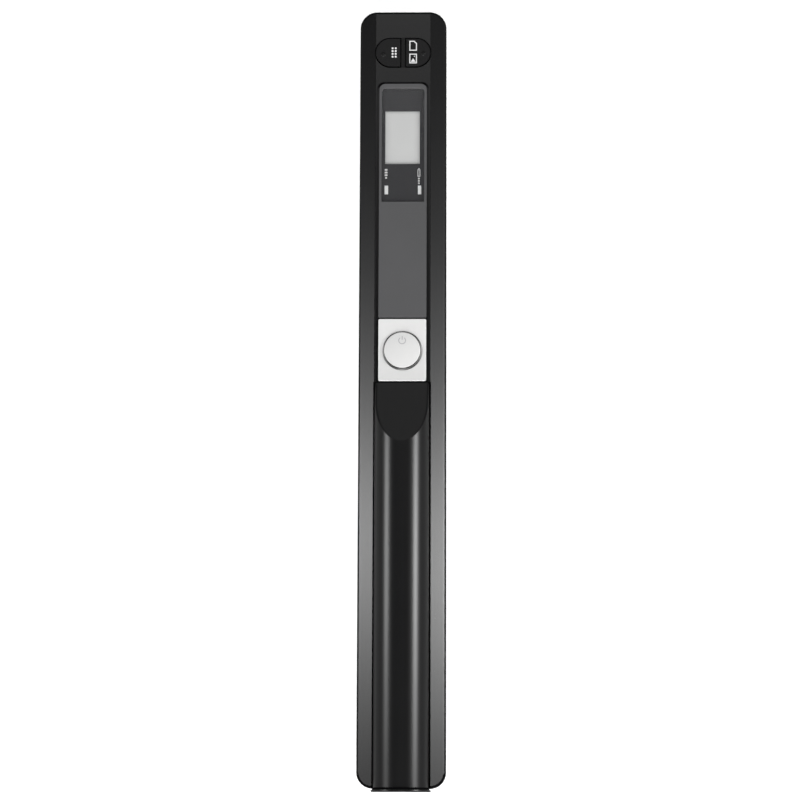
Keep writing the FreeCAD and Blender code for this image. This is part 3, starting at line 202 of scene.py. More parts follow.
def can_material():
    """Battery sleeve: dark lower part, bright band near the positive end."""
    m, nt, bsdf = new_mat("battery_sleeve")
    co = coords(nt)
    sep = nt.nodes.new("ShaderNodeSeparateXYZ")
    nt.links.new(co, sep.inputs[0])
    cell = math_node(nt, "MODULO", math_node(nt, "ADD", sep.outputs["Y"], 0.1176), 0.0505)
    u = math_node(nt, "DIVIDE", cell, 0.0505)
    nt.links.new(ramp(nt, u, [(0.0, (0.55, 0.55, 0.55)), (0.03, (0.02, 0.03, 0.045)), (0.70, (0.02, 0.03, 0.045)), (0.72, (0.34, 0.36, 0.38)), (0.955, (0.34, 0.36, 0.38)), (0.965, (0.62, 0.62, 0.60))]), bsdf.inputs["Base Color"])
    n1 = noise(nt, co, 120.0, 3.0)
    nt.links.new(ramp(nt, n1, [(0.3, 0.2), (0.7, 0.3)]), bsdf.inputs["Roughness"])
    bsdf.inputs["Metallic"].default_value = 0.6
    bump(nt, bsdf, n1, 0.05, 0.00002)
    return m


LCD = lcd_material()
WINDOW = clear_material("window_pane", (0.03, 0.03, 0.032), 0.08, 0.10)
GLASS = clear_material("scan_glass", (0.10, 0.13, 0.125), 0.03, 0.22)
GUIDE = plastic("light_guide", (0.34, 0.38, 0.37), 0.05, 0.18, 0.02, grain=0.05, spec=0.5)
CAN = can_material()

LOOK = {
    "upper_case": CASE, "lower_case": CASE_UNDER, "battery_cover": COVER, "battery_1": CAN, "battery_2": CAN,
    "front_contact": CONTACT, "rear_contact": CONTACT, "battery_spring": CONTACT, "battery_lead_neg": WIRE_B, "battery_lead_pos": WIRE_R,
    "label_panel": PANEL, "window_mask": MASK, "display_window": WINDOW, "lcd_module": LCD, "lcd_holder": WHITE,
    "indicator_pipe_left": PIPE, "indicator_pipe_right": PIPE, "indicator_led_left": WHITE, "indicator_led_right": WHITE,
    "button_plate": SILVER, "scan_button": SILVER_BTN, "dpi_button": KEYS, "format_button": KEYS, "main_board": BOARD,
    "board_components": CHIP, "scan_switch": STEEL, "dpi_switch": STEEL, "format_switch": STEEL, "usb_socket": STEEL, "card_socket": STEEL,
    "memory_card": CHIP, "pin_button_a": KEYS, "pin_button_b": KEYS, "pin_switch_a": STEEL, "pin_switch_b": STEEL, "ribbon_cable": FLEX,
    "board_screws": STEEL, "case_screws": SCREW, "cis_housing": CHIP, "cis_glass": GLASS, "cis_light_guide": GUIDE, "cis_lens_array": LENS,
    "cis_sensor_board": BOARD, "roller_shaft": STEEL, "shaft_bush_front": ACETAL, "shaft_bush_back": ACETAL, "drive_hub_front": ACETAL,
    "drive_hub_back": ACETAL, "support_hub_front": ACETAL, "support_hub_back": ACETAL, "drive_tyre_front": RUBBER, "drive_tyre_back": RUBBER,
    "support_tyre_front": RUBBER, "support_tyre_back": RUBBER, "support_pin_front": STEEL, "support_pin_back": STEEL, "drive_gear": ACETAL,
    "encoder_wheel": CHIP, "encoder_pin": STEEL, "encoder_sensor": CHIP,
}
for node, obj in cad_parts.items():
    obj.data.materials.clear()
    obj.data.materials.append(LOOK[node])
    obj.data.shade_smooth()
    obj.data.set_sharp_from_angle(angle=math.radians(24))


# ------------------------------------------------------------------ mesh helpers (millimetres in, metres out)
def link(name, verts, faces, mat):
    me = bpy.data.meshes.new(name)
    me.from_pydata([(x * MM, y * MM, z * MM) for x, y, z in verts], [], faces)
    me.validate()
    ob = bpy.data.objects.new(name, me)
    bpy.context.scene.collection.objects.link(ob)
    if mat is not None:
        me.materials.append(mat)
    bm = bmesh.new()
    bm.from_mesh(me)
    bmesh.ops.recalc_face_normals(bm, faces=bm.faces)
    bm.to_mesh(me)
    bm.free()
    return ob


def prism(name, pts, axis, a, b, mat=None):
    """Extrudes a closed outline. axis y: points are (x, z). axis z: (x, y). axis x: (y, z)."""
    n = len(pts)
    put = {
        "y": lambda p, t: (p[0], t, p[1]),
        "z": lambda p, t: (p[0], p[1], t),
        "x": lambda p, t: (t, p[0], p[1]),
    }[axis]
    verts = [put(p, a) for p in pts] + [put(p, b) for p in pts]
    faces = [list(range(n)), list(range(2 * n - 1, n - 1, -1))]
    faces += [[i, i + n, (i + 1) % n + n, (i + 1) % n] for i in range(n)]
    return link(name, verts, faces, mat)


def block(name, x0, x1, y0, y1, z0, z1, mat=None):
    return prism(name, [(x0, y0), (x1, y0), (x1, y1), (x0, y1)], "z", z0, z1, mat)


def arc(cx, cy, r, a0, a1, n):
    return [(cx + r * math.cos(math.radians(a0 + (a1 - a0) * i / n)), cy + r * math.sin(math.radians(a0 + (a1 - a0) * i / n))) for i in range(n + 1)]


def rounded(x0, x1, y0, y1, r, n=10):
    """Outline of a rounded rectangle; r may be one radius or four, from the low x, low y corner round."""
    r = [r] * 4 if isinstance(r, (int, float)) else r
    out = []
    for (cx, cy, a), q in zip(((x0, y0, 180), (x1, y0, 270), (x1, y1, 0), (x0, y1, 90)), r):
        if q <= 0:
            out.append((cx, cy))
            continue
        sx = 1 if cx == x0 else -1
        sy = 1 if cy == y0 else -1
        out += arc(cx + sx * q, cy + sy * q, q, a, a + 90, n)
    return out


def bake(ob):
    """Applies the modifiers of a piece that the script itself made."""
    dg = bpy.context.evaluated_depsgraph_get()
    me = bpy.data.meshes.new_from_object(ob.evaluated_get(dg))
    old = ob.data
    ob.modifiers.clear()
    ob.data = me
    bpy.data.meshes.remove(old)
    return ob


def combine(ob, other, op="DIFFERENCE"):
    m = ob.modifiers.new("b", "BOOLEAN")
    m.operation = op
    m.solver = "EXACT"
    m.object = other
    bake(ob)
    me = other.data
    bpy.data.objects.remove(other)
    bpy.data.meshes.remove(me)
    return ob


def tidy(ob, dist=0.002):
    bm = bmesh.new()
    bm.from_mesh(ob.data)
    bmesh.ops.remove_doubles(bm, verts=bm.verts, dist=dist * MM)
    bmesh.ops.dissolve_limit(bm, angle_limit=math.radians(0.6), verts=bm.verts, edges=bm.edges)
    bm.to_mesh(ob.data)
    bm.free()
    return ob


def weld(ob):
    """Joins coincident points and drops faces without area, and keeps every other face."""
    bm = bmesh.new()
    bm.from_mesh(ob.data)
    bmesh.ops.remove_doubles(bm, verts=bm.verts, dist=0.002 * MM)
    bmesh.ops.dissolve_degenerate(bm, edges=bm.edges, dist=0.0005 * MM)
    bmesh.ops.recalc_face_normals(bm, faces=bm.faces)
    bm.to_mesh(ob.data)
    bm.free()
    return ob


def soften(ob, width, segments=3, angle=30, smooth=40):
    m = ob.modifiers.new("edge", "BEVEL")
    m.width = width * MM
    m.segments = segments
    m.limit_method = "ANGLE"
    m.angle_limit = math.radians(angle)
    m.use_clamp_overlap = True
    m.harden_normals = False
    bake(ob)
    ob.data.shade_smooth()
    ob.data.set_sharp_from_angle(angle=math.radians(smooth))
    w = ob.modifiers.new("normals", "WEIGHTED_NORMAL")
    w.keep_sharp = True
    w.weight = 60
    return ob


def stand_for(ob, body, slot, *nodes):
    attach(ob, body)
    if nodes:
        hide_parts(*nodes)
    return ob


# ------------------------------------------------------------------ upper case, as it is moulded
B = 9.05          # half width of the top flat
DROP = 2.7
TOP = 15.6
HW = 14.35
Y0, Y1 = -127.5, 128.5
slope_a = math.atan2(DROP, HW - B)


def case_half(top, half, band, drop, soft, edge, z_low):
    """Right half of the section from the middle of the top down to z_low."""
    a = math.atan2(drop, half - band)
    t = soft * math.tan(a / 2)
    pts = []
    for i in range(7):
        q = a * i / 6
        pts.append((band - t + soft * math.sin(q), top - soft * (1 - math.cos(q))))
    turn = math.pi / 2 - a
    te = edge * math.tan(turn / 2)
    ex, ez = half - te * math.cos(a), top - drop + te * math.sin(a)
    for i in range(7):
        q = a + turn * i / 6
        cx, cz = ex - edge * math.sin(a), ez - edge * math.cos(a)
        pts.append((cx + edge * math.sin(q), cz + edge * math.cos(q)))
    pts.append((half, z_low))
    return pts


def mirrored(pts):
    return pts + [(-x, z) for x, z in reversed(pts)]


R_NEAR, R_FAR, RIM = 5.1, 4.7, 0.8
SOFT = 0.9


def on_rim(x, y, reach):
    """True within reach of the outline of the case in plan, or outside it."""
    r = R_FAR if y > 0.5 else R_NEAR
    dx = max(abs(x) - (HW - r), 0.0)
    dy = max(abs(y - (Y0 + Y1) / 2) - ((Y1 - Y0) / 2 - r), 0.0)
    inside = min(HW - abs(x), (Y1 - Y0) / 2 - abs(y - (Y0 + Y1) / 2))
    d = r - math.hypot(dx, dy) if dx > 0 and dy > 0 else inside
    return d < reach


def case_skin(name, z_low):
    """The moulded outside of the upper case: top flat, sloped side strips and a rounded rim all round."""
    t = SOFT * math.tan(slope_a / 2)
    turn = [B - t + SOFT * math.sin(slope_a * i / 3) for i in range(4)]

    def top(x):
        x = abs(x)
        if x <= B - t:
            return TOP
        if x >= turn[-1] - 1e-6:
            return TOP - (x - B) * DROP / (HW - B)
        return TOP - SOFT + math.sqrt(SOFT ** 2 - (x - B + t) ** 2)

    n = 14
    half = []
    for i in range(n + 1):
        half.append(("arc", -1, 90 - 90 * i / n))
    half += [("flat", x, 0) for x in [-x for x in reversed(turn)] + turn]
    for i in range(n + 1):
        half.append(("arc", 1, 90 * i / n))

    def ring(d):
        out = []
        for far in (False, True):
            r = R_FAR if far else R_NEAR
            row = []
            for kind, v, q in half:
                if kind == "flat":
                    row.append((v, Y1 - d if far else Y0 + d))
                else:
                    x = v * (HW - r + (r - d) * math.sin(math.radians(q)))
                    back = r - (r - d) * math.cos(math.radians(q))
                    row.append((x, Y1 - back if far else Y0 + back))
            out += reversed(row) if far else row
        return out

    m = 2 * len(half)
    verts = [(x, y, z_low) for x, y in ring(0)]
    steps = 6
    for k in range(steps + 1):
        q = math.pi / 2 * k / steps
        verts += [(x, y, top(x) - RIM * (1 - math.sin(q))) for x, y in ring(RIM * (1 - math.cos(q)))]
    faces = [list(range(m - 1, -1, -1))]
    for k in range(steps + 1):
        for i in range(m):
            j = (i + 1) % m
            faces.append([k * m + i, k * m + j, (k + 1) * m + j, (k + 1) * m + i])
    base = (steps + 1) * m
    h = len(half)
    a, b = n + 1, n + 4                      # the soft turn on the left, then on the right
    c, e = n + 5, n + 8
    near = lambda i: base + i
    far = lambda i: base + m - 1 - i
    faces.append([near(i) for i in range(0, a + 1)] + [far(i) for i in range(a, -1, -1)])
    for i in list(range(a, b)) + [b] + list(range(c, e)):
        faces.append([near(i), near(i + 1), far(i + 1), far(i)])
    faces.append([near(i) for i in range(e, h)] + [far(i) for i in range(h - 1, e - 1, -1)])
    return link(name, verts, faces, None)


def boolean_case():
    z0 = 6.2
    outer = case_skin("case_upper_skin", z0)
    inner = prism("c_in", mirrored(case_half(TOP - 1.5, HW - 1.5, B - 0.5, DROP * 0.8, 1.0, 0.3, z0 - 1)), "y", Y0, Y1)
    combine(inner, prism("c", rounded(-HW + 1.5, HW - 1.5, Y0 + 1.5, Y1 - 1.5, 3.7, 8), "z", z0 - 2, TOP), "INTERSECT")
    combine(outer, inner)
    # channel trough and the thick floor under the label panel
    trough = block("c", -10.5, 10.5, Y0 + 0.6, 4.8, 10.3, 14.25)
    combine(outer, trough, "UNION")
    combine(outer, block("c", -8.85, 8.85, 3.9, 106.1, 13.2, 14.55), "UNION")
    combine(outer, block("c", -9.4, 9.4, Y0 - 1, 3.5, 11.5, TOP + 1))
    combine(outer, prism("c", rounded(-8.55, 8.55, 3.1, 104.25, [0, 0, 2.3, 2.3], 8), "z", 14.3, TOP + 1))
    oval = arc(4.25, 114.35, 5.15, -90, 90, 18) + arc(-4.25, 114.35, 5.15, 90, 270, 18)
    combine(outer, prism("c", oval, "z", 12.5, TOP + 1))
    combine(outer, block("c", -7.2, 7.2, 71.9, 99.6, 12.3, 14.4))
    combine(outer, block("c", -6.4, -4.4, 65.9, 69.7, 12.3, 14.4))
    combine(outer, block("c", 4.4, 6.4, 65.9, 69.7, 12.3, 14.4))
    combine(outer, prism("c", arc(0, 13.9, 3.0, 0, 352, 44), "z", 12.3, 14.4))
    combine(outer, block("c", 12.2, 15.2, 40.05, 47.95, 6.6, 10.6))
    combine(outer, block("c", 12.2, 15.2, 58.2, 69.8, 9.25, 10.4))
    for y in (29.5, 34.5):
        combine(outer, prism("c", [(y + 1.15 * math.cos(math.radians(a)), 8.9 + 1.15 * math.sin(math.radians(a))) for a in range(0, 360, 12)], "x", 12.2, 15.2))
    # bulkheads, cell cradles and the two lead slots in the channel
    for name, y_a, y_b, top in (("f", -16.1, -14.9, 23.9), ("r", -125.2, -124.0, 24.5)):
        pts = [(6.7, 11.3), (6.7, 18.85)]
        lim = math.degrees(math.asin((top - 18.85) / 6.7))
        pts += arc(0, 18.85, 6.7, 0, lim, 10)[1:]
        pts += [(-x, z) for x, z in reversed(pts)]
        combine(outer, prism("c", pts, "y", y_a, y_b), "UNION")
    for yy in (-31.9, -53.9, -82.4, -104.4):
        pts = [(6.4, 11.3), (6.4, 13.7)]
        lo = math.degrees(math.acos(5.15 / 7.3))
        pts += arc(0, 18.85, 7.3, -90 + lo, -90 - lo, 16)
        pts += [(-6.4, 13.7), (-6.4, 11.3)]
        combine(outer, prism("c", pts, "y", yy - 0.7, yy + 0.7), "UNION")
    combine(outer, block("c", -5.1, -2.9, -124.0, -123.0, 9.5, 12.5))
    combine(outer, block("c", 0.9, 3.1, -16.7, -16.1, 9.5, 12.5))
    tidy(outer)
    outer.data.materials.clear()
    outer.data.materials.append(CASE)
    outer.data.materials.append(CASE_RIM_SHADE)
    soften(outer, 0.22, 3, 32, 50)
    # painted shade: rim fillet faces, picked by how steeply they face, take the dull copy so the rim shows as a dark
    # line
    for f in outer.data.polygons:
        c = f.center / MM
        low, high = (0.70, 0.998) if c.y > 126.0 else ((0.05, 0.95) if c.y < -122.0 else (0.50, 0.72))
        if low < f.normal.z < high and c.z > 11.5 and on_rim(c.x, c.y, RIM + 0.02):
            f.material_index = 1
    return stand_for(outer, "case", "case_black", "upper_case")


case_upper = boolean_case()
divider = prism("key_divider", rounded(-0.6, 0.6, 109.0, 119.7, 0.05, 2), "z", 12.2, 15.5, KEYS)
combine(divider, prism("c", rounded(-1.35, 1.35, 109.0, 119.7, 0.05, 2), "z", 12.0, 12.33), "UNION")
soften(divider, 0.12, 2, 40, 50)
stand_for(divider, "case", "case_black")


# ------------------------------------------------------------------ handle cover with its thumb slope
def handle_cover():
    R, ZC, FOOT = 8.75, 18.85, 11.6
    run, z_front, crown = 20.7, 15.9, 27.6
    y_f = 3.15

    def arch(r, foot, n=40):
        return [(r, foot)] + arc(0, ZC, r, 0, 180, n) + [(-r, foot)]

    hx = y_f - run
    round_r = 0.8

    def section(h):
        """Outline across the cover where its top is cut level at height h, with rounded edges."""
        if h > crown - 1e-4:
            cx, cz, phi = 0.0, crown - round_r, math.pi / 2
        elif h - round_r >= ZC:
            cz = h - round_r
            cx = math.sqrt(max(0.0, (R - round_r) ** 2 - (cz - ZC) ** 2))
            phi = math.atan2(cz - ZC, cx)
        else:
            cx, cz, phi = R - round_r, h - round_r, 0.0
        low = ZC if phi > 0 else cz
        pts = [(R, FOOT), (R, low)]
        for i in range(1, 41):
            a = phi * i / 40
            pts.append((R * math.cos(a), ZC + R * math.sin(a)) if phi > 0 else (R, low))
        for i in range(1, 9):
            a = phi + (math.pi / 2 - phi) * i / 8
            pts.append((cx + round_r * math.cos(a), cz + round_r * math.sin(a)))
        pts += [(cx * 0.5, cz + round_r), (0.0, cz + round_r)]
        return pts + [(-x, z) for x, z in reversed(pts[:-1])]

    steps = 44
    rows = [(y_f - run * (1 - (i / steps) ** 2), crown - (crown - z_front) * (i / steps) ** 2) for i in range(steps, -1, -1)]
    rows += [(hx - 0.15, crown), (hx - 0.6, crown), (hx - 2.0, crown), (-128.1, crown)]
    verts, m = [], 0
    for y, h in rows:
        ring = section(h)
        m = len(ring)
        verts += [(x, y, z) for x, z in ring]
    faces = [list(range(m)), list(range(len(verts) - 1, len(verts) - m - 1, -1))]
    for j in range(len(rows) - 1):
        for i in range(m):
            k = (i + 1) % m
            faces.append([j * m + i, j * m + k, (j + 1) * m + k, (j + 1) * m + i])
    outer = weld(link("handle_shell", verts, faces, None))
    inner = prism("c_in", arch(R - 1.25, FOOT - 2, 40), "y", -127.1, y_f - 1.25)
    cut_in = [(-140, 26.25)] + [(hx - 0.3, 26.25), (y_f - 1.25, 15.15), (y_f + 3, 15.2), (y_f + 3, 45), (-140, 45)]
    combine(inner, prism("c", cut_in, "x", -14, 14))
    combine(outer, inner)
    neck = prism("c", arch(R + 0.3, FOOT + 0.1, 72), "y", -128.3, -127.3)
    combine(outer, block("c", -12, 12, -129, -127.6, 5, 40))
    combine(outer, neck, "UNION")
    weld(outer)
    outer.data.materials.clear()
    outer.data.materials.append(COVER)
    outer.data.materials.append(CASE_RIM_SHADE)
    soften(outer, 0.30, 4, 32, 45)
    # painted shade: the recessed neck behind the flange takes the dull copy, so it shows as a dark line
    for f in outer.data.polygons:
        if -128.08 < f.center.y / MM < -127.28 and math.hypot(f.center.x / MM, f.center.z / MM - ZC) < R + 0.45:
            f.material_index = 1
    flange = prism("handle_flange", arch(R + 0.75, FOOT, 72), "y", -128.62, -127.98, COVER)
    soften(flange, 0.12, 3, 32, 45)
    stand_for(flange, "battery_cover_body", "cover_black")
    return stand_for(outer, "battery_cover_body", "cover_black", "battery_cover")


cover = handle_cover()

# ------------------------------------------------------------------ keys, plate, scan button, label panel
def half_key(side):
    s = -1 if side == "left" else 1
    cx, cy, r = 4.25, 114.35, 4.72
    pts = [(1.0, cy - r), (cx, cy - r)] + arc(cx, cy, r, -90, 90, 28)[1:-1] + [(cx, cy + r), (1.0, cy + r)]
    pts = [(s * x, y) for x, y in pts]
    cap = prism("key_" + side, pts, "z", 12.8, 15.95)
    fl = [(0.95, cy - 5.65), (cx, cy - 5.65)] + arc(cx, cy, 5.65, -90, 90, 28)[1:-1] + [(cx, cy + 5.65), (0.95, cy + 5.65)]
    combine(cap, prism("c", [(s * x, y) for x, y in fl], "z", 12.8, 13.2), "UNION")
    combine(cap, prism("c", [(s * cx + 1.5 * math.cos(math.radians(a)), cy + 1.5 * math.sin(math.radians(a))) for a in range(0, 360, 15)], "z", 12.75, 12.9), "UNION")
    tidy(cap)
    cap.data.materials.clear()
    cap.data.materials.append(KEYS)
    soften(cap, 0.28, 3, 40, 50)
    name = "dpi_button" if side == "left" else "format_button"
    return stand_for(cap, name + "_body", "key_black", name)


half_key("left")
half_key("right")


def lathe(name, prof, x, y, mat, n=96):
    """Turns (radius, z) pairs about the vertical line through (x, y)."""
    verts, faces = [], []
    rings = []
    for r, z in prof:
        if r < 1e-6:
            rings.append([len(verts)])
            verts.append((x, y, z))
        else:
            ring = []
            for k in range(n):
                a = 2 * math.pi * k / n
                ring.append(len(verts))
                verts.append((x + r * math.cos(a), y + r * math.sin(a), z))
            rings.append(ring)
    for p, q in zip(rings, rings[1:]):
        for k in range(n):
            k2 = (k + 1) % n
            if len(p) == 1:
                faces.append([p[0], q[k], q[k2]])
            elif len(q) == 1:
                faces.append([p[k], q[0], p[k2]])
            else:
                faces.append([p[k], q[k], q[k2], p[k2]])
    ob = link(name, verts, faces, mat)
    ob.data.shade_smooth()
    ob.data.set_sharp_from_angle(angle=math.radians(35))
    return ob


def scan_button():
    R, top = 5.98, 17.3
    prof = [(0, 12.75), (2.0, 12.75), (2.0, 14.75), (7.0, 14.75), (7.0, 15.1), (R, 15.1), (R, top - 1.1)]
    e = 0.5
    for i in range(1, 9):
        q = math.radians(90 * i / 8)
        prof.append((R - e * (1 - math.cos(q)), top - 1.1 + e * math.sin(q)))
    r0, z0 = prof[-1]
    for i in range(1, 15):
        f = 1 - i / 14
        prof.append((r0 * f, z0 + (top - z0) * (1 - f * f)))
    ob = lathe("scan_button_cap", prof, 0, 13.9, SILVER_BTN)
    return stand_for(ob, "scan_button_body", "button_silver", "scan_button")


scan_button()


def plate():
    ob = prism("plate_around_button", rounded(-7.8, 7.8, 3.75, 24.3, 0.45, 5), "z", 14.3, 15.85)
    # the hole sits a little off centre, so more of the dark skirt of painted shade shows on the near right side
    combine(ob, prism("c", [(0.08 + 6.42 * math.cos(math.radians(a)), 13.72 + 6.42 * math.sin(math.radians(a))) for a in range(0, 360, 5)], "z", 13, 17))
    combine(ob, prism("c", [(7.15 * math.cos(math.radians(a)), 13.9 + 7.15 * math.sin(math.radians(a))) for a in range(0, 360, 5)], "z", 13, 15.15))
    tidy(ob)
    ob.data.materials.clear()
    ob.data.materials.append(SILVER)
    soften(ob, 0.22, 3, 40, 50)
    return stand_for(ob, "case", "plate_silver", "button_plate")


plate()


def panel():
    ob = prism("label_panel_skin", rounded(-7.85, 7.85, 24.85, 103.8, [0.25, 0.25, 2.0, 2.0], 8), "z", 14.3, 15.55)
    combine(ob, prism("c", rounded(-7.05, 7.05, 63.7, 102.2, [0.15, 0.15, 1.25, 1.25], 6), "z", 13, 17))
    tidy(ob)
    ob.data.materials.clear()
    ob.data.materials.append(PANEL)
    soften(ob, 0.18, 3, 40, 50)
    stand_for(ob, "case", "panel_grey", "label_panel")
    pane = prism("window_pane_skin", rounded(-7.0, 7.0, 63.75, 102.15, [0.1, 0.1, 1.2, 1.2], 6), "z", 14.76, 15.32, WINDOW)
    soften(pane, 0.08, 2, 40, 50)
    stand_for(pane, "case", "window_clear", "display_window")


panel()


# ------------------------------------------------------------------ printed marks, key bumps and the dark skirt of painted shade round the scan button
def ink(name, shapes, z0, z1, mat, body, slot):
    """Several thin separate outlines as one printed layer."""
    verts, faces = [], []
    for pts in shapes:
        n, b = len(pts), len(verts)
        verts += [(x, y, z0) for x, y in pts] + [(x, y, z1) for x, y in pts]
        faces += [[b + i for i in range(n)], [b + n + i for i in range(n - 1, -1, -1)]]
        faces += [[b + i, b + (i + 1) % n, b + n + (i + 1) % n, b + n + i] for i in range(n)]
    return stand_for(link(name, verts, faces, mat), body, slot)


def dot(x, y, r, n=14):
    return [(x + r * math.cos(2 * math.pi * k / n), y + r * math.sin(2 * math.pi * k / n)) for k in range(n)]


def bar(x0, x1, y0, y1, r=0.08):
    return rounded(x0, x1, y0, y1, r, 3)


def outline_ink(name, loops, solids, z0, z1, mat, body, slot):
    """Closed lines of even width, and solid shapes, as one printed layer."""
    verts, faces = [], []
    for pts, hole in loops:
        n, b = len(pts), len(verts)
        for z in (z0, z1):
            verts += [(x, y, z) for x, y in pts] + [(x, y, z) for x, y in hole]
        for i in range(n):
            j = (i + 1) % n
            faces.append([b + i, b + j, b + n + j, b + n + i])
            faces.append([b + 2 * n + i, b + 3 * n + i, b + 3 * n + j, b + 2 * n + j])
            faces.append([b + i, b + 2 * n + i, b + 2 * n + j, b + j])
            faces.append([b + n + i, b + n + j, b + 3 * n + j, b + 3 * n + i])
    for pts in solids:
        n, b = len(pts), len(verts)
        verts += [(x, y, z0) for x, y in pts] + [(x, y, z1) for x, y in pts]
        faces += [[b + i for i in range(n)], [b + n + i for i in range(n - 1, -1, -1)]]
        faces += [[b + i, b + (i + 1) % n, b + n + (i + 1) % n, b + n + i] for i in range(n)]
    return stand_for(link(name, verts, faces, mat), body, slot)


def marks():
    # left key: a small dot grid. Right key: a page and a picture
    grid = [dot(-3.0 + dx, 114.35 + dy, 0.34) for dx in (-0.52, 0.52) for dy in (-1.44, -0.48, 0.48, 1.44)]
    ink("mark_left_key", grid, 15.93, 15.975, INK, "dpi_button_body", "white_plastic")
    x0, x1, w = 2.05, 4.55, 0.32
    page = [(x0, 114.95), (x1, 114.95), (x1, 117.5), (x1 - 0.85, 118.35), (x0, 118.35)]
    page_in = [(x0 + w, 114.95 + w), (x1 - w, 114.95 + w), (x1 - w, 117.33), (x1 - 1.02, 118.35 - w), (x0 + w, 118.35 - w)]
    pic = [(x0, 110.6), (x1, 110.6), (x1, 113.9), (x0, 113.9)]
    pic_in = [(x0 + w, 110.6 + w), (x1 - w, 110.6 + w), (x1 - w, 113.9 - w), (x0 + w, 113.9 - w)]
    hill = [(x0 + w + 0.12, 111.12), (x1 - w - 0.12, 111.12), (x0 + 1.25, 112.35)]
    outline_ink("mark_right_key", [(page, page_in), (pic, pic_in)], [hill, dot(x1 - 0.82, 113.02, 0.2, 10)], 15.93, 15.975, INK, "format_button_body", "white_plastic")
    for side, x, y, body in (("left", -6.6, 113.7, "dpi_button_body"), ("right", 6.65, 114.0, "format_button_body")):
        prof = [(0, 15.88), (0.78, 15.88), (0.78, 15.94)] + [(0.78 * math.cos(math.radians(q)), 15.94 + 0.26 * math.sin(math.radians(q))) for q in (20, 40, 60, 75)] + [(0, 16.2)]
        stand_for(lathe("key_bump_" + side, prof, x, y, KEYS, 28), body, "key_black")
    # small signs beside the two indicator lights, printed under the window
    z0, z1 = 14.74, 14.757
    ink("mark_left_light", [dot(-5.55, 71.9, 0.33), bar(-6.0, -5.1, 72.5, 73.1), bar(-6.0, -5.1, 73.4, 74.0), bar(-6.0, -5.1, 74.3, 74.9)], z0, z1, INK, "case", "white_plastic")
    cell = [(4.85, 72.3), (5.75, 72.3), (5.75, 74.7), (4.85, 74.7)]
    cell_in = [(5.08, 72.53), (5.52, 72.53), (5.52, 74.47), (5.08, 74.47)]
    outline_ink("mark_right_light", [(cell, cell_in)], [bar(5.1, 5.5, 74.78, 75.15), dot(5.3, 71.65, 0.3), dot(5.3, 70.85, 0.3), dot(5.3, 70.05, 0.3)], z0, z1, INK, "case", "white_plastic")

    # printed border that trims the display and the two lights
    trims = [[(5.55, 76.4), (6.3, 76.4), (6.3, 94.8), (5.55, 94.8)]]
    for a, b in ((-6.35, -6.02), (-4.86, -4.45), (4.45, 4.98), (6.14, 6.35)):
        trims.append([(a, 66.0), (b, 66.0), (b, 69.6), (a, 69.6)])
    ink("window_border_print", trims, 14.742, 14.755, MASK, "case", "mask_black")

    # faint on-off sign, laid on the domed top of the scan button
    def dome(x, y):
        f = math.hypot(x, y - 13.9) / 5.48
        return 16.7 + 0.6 * (1 - f * f)

    verts, faces = [], []

    def strip(a_pts, b_pts):
        b, n = len(verts), len(a_pts)
        for off in (-0.03, 0.014):
            for p in a_pts + b_pts:
                verts.append((p[0], p[1], dome(*p) + off))
        for i in range(n - 1):
            faces.append([b + i, b + i + 1, b + n + i + 1, b + n + i])
            faces.append([b + 2 * n + i, b + 3 * n + i, b + 3 * n + i + 1, b + 2 * n + i + 1])
            faces.append([b + i, b + 2 * n + i, b + 2 * n + i + 1, b + i + 1])
            faces.append([b + n + i, b + n + i + 1, b + 3 * n + i + 1, b + 3 * n + i])
        for i in (0, n - 1):
            faces.append([b + i, b + n + i, b + 3 * n + i, b + 2 * n + i])

    cy = 16.9
    strip(arc(0, cy, 1.25, 125, 415, 30), arc(0, cy, 0.97, 125, 415, 30))
    strip([(-0.14, cy + 0.25 + 0.25 * k) for k in range(6)], [(0.14, cy + 0.25 + 0.25 * k) for k in range(6)])
    sign = link("mark_scan_button", verts, faces, INK_GREY)
    stand_for(sign, "scan_button_body", "panel_grey")

    # painted shade: a dark ring on the button's side wall, standing in for the shade in the gap between button and
    # plate
    prof = [(5.9, 14.98), (6.75, 14.98), (6.75, 15.08), (6.02, 15.08), (6.02, 16.42), (5.985, 16.47), (5.9, 16.47), (5.9, 14.98)]
    skirt = tidy(lathe("scan_button_gap_shade", prof, 0, 13.9, SHADE_SKIRT))
    stand_for(skirt, "scan_button_body", "key_black")


marks()


# ------------------------------------------------------------------ camera, floor and lights
def camera():
    f_px, dist, y_c, y_t, z_t = 2643.5, 860.0, -139.2, -2.40, 15.0
    z_c = z_t + math.sqrt(dist * dist - (y_t - y_c) ** 2)
    x_c, x_off = 20.0, -0.68
    cd = bpy.data.cameras.new("camera")
    cam = bpy.data.objects.new("camera", cd)
    bpy.context.scene.collection.objects.link(cam)
    cd.sensor_width = 36.0
    cd.sensor_fit = "HORIZONTAL"
    cd.lens = f_px / 800 * 36.0
    cd.clip_start = 0.05
    cd.clip_end = 20
    c, t = Vector((x_c, y_c, z_c)) * MM, Vector((x_off, y_t, z_t)) * MM
    fw = (t - c).normalized()
    right = (Vector((1, 0, 0)) - fw * fw.x).normalized()
    up = right.cross(fw)
    m = Matrix((right, up, -fw)).transposed().to_4x4()
    m = m @ Matrix.Rotation(math.radians(ROLL), 4, "Z")
    m.translation = c
    cam.matrix_world = m
    bpy.context.scene.camera = cam


ROLL = -0.02
camera()


